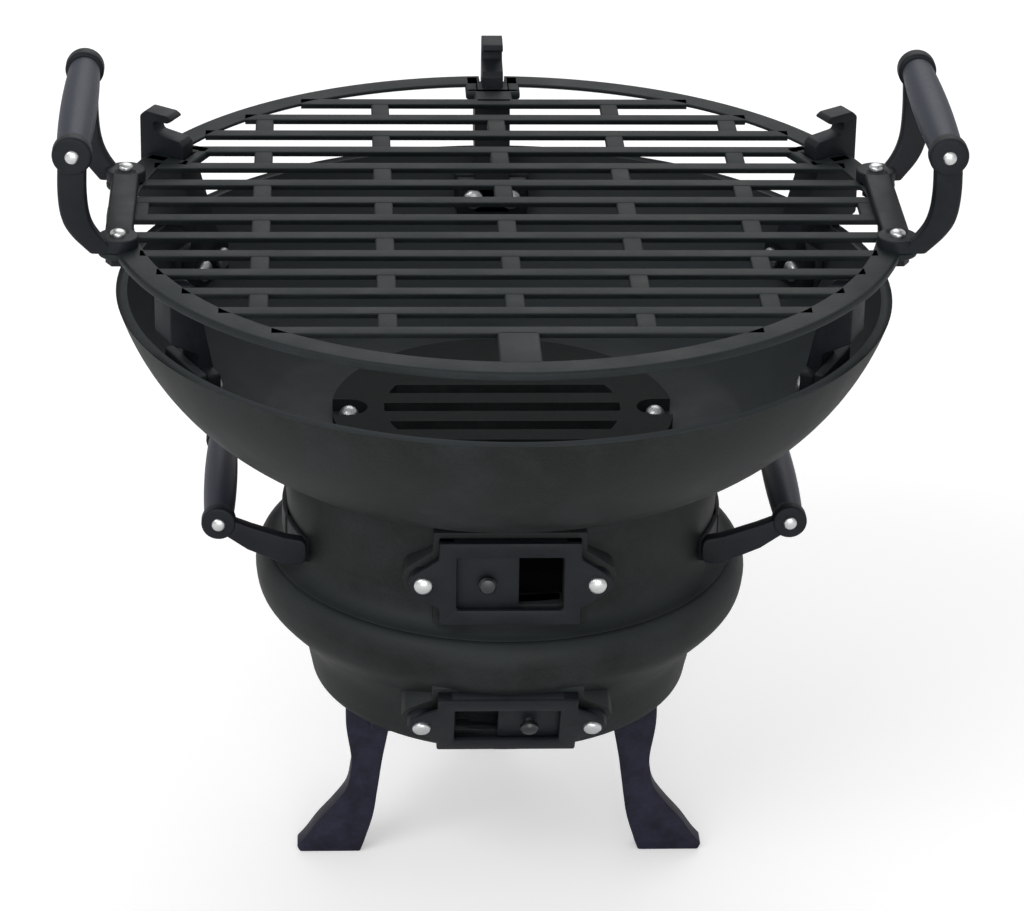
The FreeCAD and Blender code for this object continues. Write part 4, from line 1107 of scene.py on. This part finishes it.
class GRILL_OT_fasteners(Operator):
    """Set every bolt and rod on its seat"""
    bl_idname = "grill.fasteners"
    bl_label = "Bolts and Rods"

    def execute(self, context):
        s = context.scene.grill_sizes
        tree = bolt_tree()
        for node, (sizes, seats) in {**self.bolts(s), **self.vent_bolts(), **self.rods(s)}.items():
            made = self.repeated(context.scene, tree, bolt_shape(*sizes), seats)
            settle("zinc_" + node, made, [node])
        return {"FINISHED"}

    def repeated(self, scene, tree, shape, seats):
        """The mesh of one fastener set on every seat."""
        mesh = bpy.data.meshes.new("master")
        shape.to_mesh(mesh)
        shape.free()
        master = bpy.data.objects.new("master", mesh)
        scene.collection.objects.link(master)
        points = bpy.data.meshes.new("seats")
        points.from_pydata([Vector(place) for place, axis in seats], [], [])
        axes = points.attributes.new("axis", "FLOAT_VECTOR", "POINT")
        axes.data.foreach_set("vector", [c for place, axis in seats for c in axis])
        made = grown_from(points, tree, {"Fastener": master, "Finish": finish("zinc")})
        bpy.data.objects.remove(master)
        bpy.data.meshes.remove(mesh)
        return made

    def bolts(self, s):
        """For each node: head radius, head height, shank radius and reach, then its seats with their axes."""
        up, down = (0, 0, 1), (0, 0, -1)
        corners = [(x, y) for x in SIDES for y in SIDES]
        foot_top = s.grate_top - UPPER_FOOT_SUNK + UPPER_FOOT_T
        saddle_z = (SADDLE_LOW + SADDLE_HIGH) / 2
        floor_x, saddle_y, tongue_x = metres(70, 12, -20)
        leg_seats = [leg_place(name) @ Vector((tongue_x, 0, TONGUE_LOW)) for name in LEGS]
        return {
            "leg_bolts": (metres(5, 3.4, 3, 18.5), [(seat, down) for seat in leg_seats]),
            "floor_bolts": (metres(4.6, 6.4, 3, 16.5), [
                ((x * floor_x, 0, FLOOR_Z + BOWL_WALL), up) for x in SIDES]),
            "upper_handle_bolts": (metres(3.5, 2.6, 3, 13.5), [
                ((x * UPPER_FOOT_X, y * UPPER_FOOT_Y, foot_top), up) for x, y in corners]),
            "lower_handle_bolts": (metres(5, 3.4, 3, 17.5), [
                ((x * PAD_IN, y * saddle_y, saddle_z), (-x, 0, 0)) for x, y in corners]),
            "holder_bolts": (metres(5, 3.4, 3, 14.5), self.holder_seats()),
        }

    def holder_seats(self):
        """Two seats on the foot of every bracket and rest."""
        apart, middle = 9 * MM, HOLDER_FOOT_LOW + HOLDER_FOOT_H / 2
        seats = []
        for degrees in HOLDER_TURNS:
            place = about_z(degrees)
            inward = place.to_3x3() @ Vector((0, -1, 0))
            seats += [(place @ Vector((way * apart, HOLDER_FOOT_IN, middle)), inward) for way in SIDES]
        return seats

    def vent_bolts(self):
        """The same for the bolts through the vents' ears."""
        groups = {}
        for name in VENT_SEATS:
            place = vent_place(name)
            out = place.to_3x3() @ Vector((0, -1, 0))
            seats = [(place @ Vector((way * VENT_EAR_X, -VENT_FACE, 0)), out) for way in SIDES]
            groups[name + "_vent_bolts"] = (metres(4.1, 2.8, 3, 21.5), seats)
        return groups

    def rods(self, s):
        """The same for the rods through the grips, whose heads are at the front."""
        head_r, head_h, rod_r, past_eye = metres(3.1, 1.8, 2.6, 5.5)
        groups = {}
        for side, name in ((1, "right"), (-1, "left")):
            for level, size in GRIPS.items():
                x, z = grip_axis(s, level)
                eye_out = size["eye"][1]
                sizes = (head_r, head_h, rod_r, 2 * eye_out + past_eye)
                groups["%s_grip_rod_%s" % (level, name)] = (sizes, [((side * x, -eye_out, z), (0, -1, 0))])
        return groups


class GRILL_OT_plain_parts(Operator):
    """Dress the solids that keep their own shape: the fire grate and the nuts"""
    bl_idname = "grill.plain_parts"
    bl_label = "Fire Grate and Nuts"

    def execute(self, context):
        slots = {p["node"]: p["material_slot"] for p in frame["record"]["subparts"]}
        for node, obj in frame["nodes"].items():
            if obj.hide_render:
                continue
            for holder in obj.material_slots:
                holder.material = finish("soot" if node == "fire_grate" else slots[node])
        return {"FINISHED"}


class GRILL_OT_stage(Operator):
    """Make the pale floor, the soft lights and the camera"""
    bl_idname = "grill.stage"
    bl_label = "Studio"

    def execute(self, context):
        scene = context.scene
        self.floor(scene)
        self.world(scene)
        self.lamps(scene)
        self.camera(scene)
        scene.view_settings.view_transform = "Standard"
        return {"FINISHED"}

    def floor(self, scene):
        """A wide pale floor, lifted a little in the picture so that it runs out to white."""
        half, glow = 12.0, 0.3
        bm = bmesh.new()
        bmesh.ops.create_grid(bm, x_segments=1, y_segments=1, size=half)
        mesh = bpy.data.meshes.new("floor")
        bm.to_mesh(mesh)
        bm.free()
        material = blank_material("studio_floor")
        tree = material.node_tree
        path = add_node(tree, "ShaderNodeLightPath")
        pale = add_node(tree, "ShaderNodeBsdfDiffuse", None, {"Color": opaque(scene.grill_colours.floor)})
        lift = add_node(tree, "ShaderNodeEmission", None, {
            "Color": opaque((glow, glow, glow)), "Strength": path.outputs["Is Camera Ray"]})
        both = add_node(tree, "ShaderNodeAddShader", None, {0: pale.outputs[0], 1: lift.outputs[0]})
        add_node(tree, "ShaderNodeOutputMaterial", None, {"Surface": both.outputs[0]})
        mesh.materials.append(material)
        floor = bpy.data.objects.new("floor", mesh)
        scene.collection.objects.link(floor)

    def world(self, scene):
        """An even white sky."""
        world = bpy.data.worlds.new("studio")
        world.use_nodes = True
        tree = world.node_tree
        tree.nodes.clear()
        sky = add_node(tree, "ShaderNodeBackground", None, {"Color": (1, 1, 1, 1), "Strength": 0.55})
        add_node(tree, "ShaderNodeOutputWorld", None, {"Surface": sky.outputs[0]})
        scene.world = world

    def lamps(self, scene):
        """Three large soft lamps that look at the middle of the grill."""
        middle = Vector((0, 0, 0.18))
        # name, place and size in metres, power in watts
        lamps = (
            ("key", (-1.6, -1.7, 2.2), 1.8, 28),
            ("fill", (0.2, -2.7, 0.8), 1.6, 23),
            ("back", (0.3, 2.2, 2.2), 2.0, 22),
        )
        for name, place, size, power in lamps:
            lamp = bpy.data.lights.new(name, "AREA")
            lamp.size = size
            lamp.energy = power
            obj = bpy.data.objects.new(name, lamp)
            obj.location = place
            obj.rotation_euler = (middle - Vector(place)).to_track_quat("-Z", "Y").to_euler()
            scene.collection.objects.link(obj)

    def camera(self, scene):
        """The camera that was fitted to the grate's ring, the bowl's rim, the vents and the feet."""
        camera = bpy.data.cameras.new("camera")
        camera.sensor_fit = "HORIZONTAL"
        camera.sensor_width = 36.0
        camera.lens = 147.66
        camera.clip_end = 30.0
        right = (0.99902, -0.04082, 0.01672)
        up = (0.00218, 0.42434, 0.9055)
        back = (-0.04407, -0.90458, 0.42403)
        seat = (-0.08019, -1.74592, 1.0008)
        seer = bpy.data.objects.new("camera", camera)
        seer.matrix_world = Matrix(list(zip(right, up, back, seat)) + [(0, 0, 0, 1)])
        scene.collection.objects.link(seer)
        scene.camera = seer


class GRILL_PT_panel(Panel):
    """Lists the grill's operators, sizes and colours"""
    bl_idname = "GRILL_PT_panel"
    bl_label = "Barrel Grill"
    bl_space_type = "VIEW_3D"
    bl_region_type = "UI"
    bl_category = "Grill"

    def draw(self, context):
        for step in STEPS:
            self.layout.operator(step.bl_idname)
        for group in (context.scene.grill_sizes, context.scene.grill_colours):
            for key in group.__annotations__:
                self.layout.prop(group, key)


STEPS = (
    GRILL_OT_cooking_grate, GRILL_OT_fire_bowl, GRILL_OT_holders, GRILL_OT_collar, GRILL_OT_lower_bowl,
    GRILL_OT_vents, GRILL_OT_legs, GRILL_OT_handles, GRILL_OT_fasteners, GRILL_OT_plain_parts, GRILL_OT_stage,
)
CLASSES = (GrillSizes, GrillColours) + STEPS + (GRILL_PT_panel,)


def register():
    for cls in CLASSES:
        bpy.utils.register_class(cls)
    bpy.types.Scene.grill_sizes = PointerProperty(type=GrillSizes)
    bpy.types.Scene.grill_colours = PointerProperty(type=GrillColours)


def unregister():
    del bpy.types.Scene.grill_colours
    del bpy.types.Scene.grill_sizes
    for cls in reversed(CLASSES):
        bpy.utils.unregister_class(cls)


def main():
    register()
    for step in STEPS:
        family, action = step.bl_idname.split(".")
        getattr(getattr(bpy.ops, family), action)()


if __name__ == "__main__":
    main()
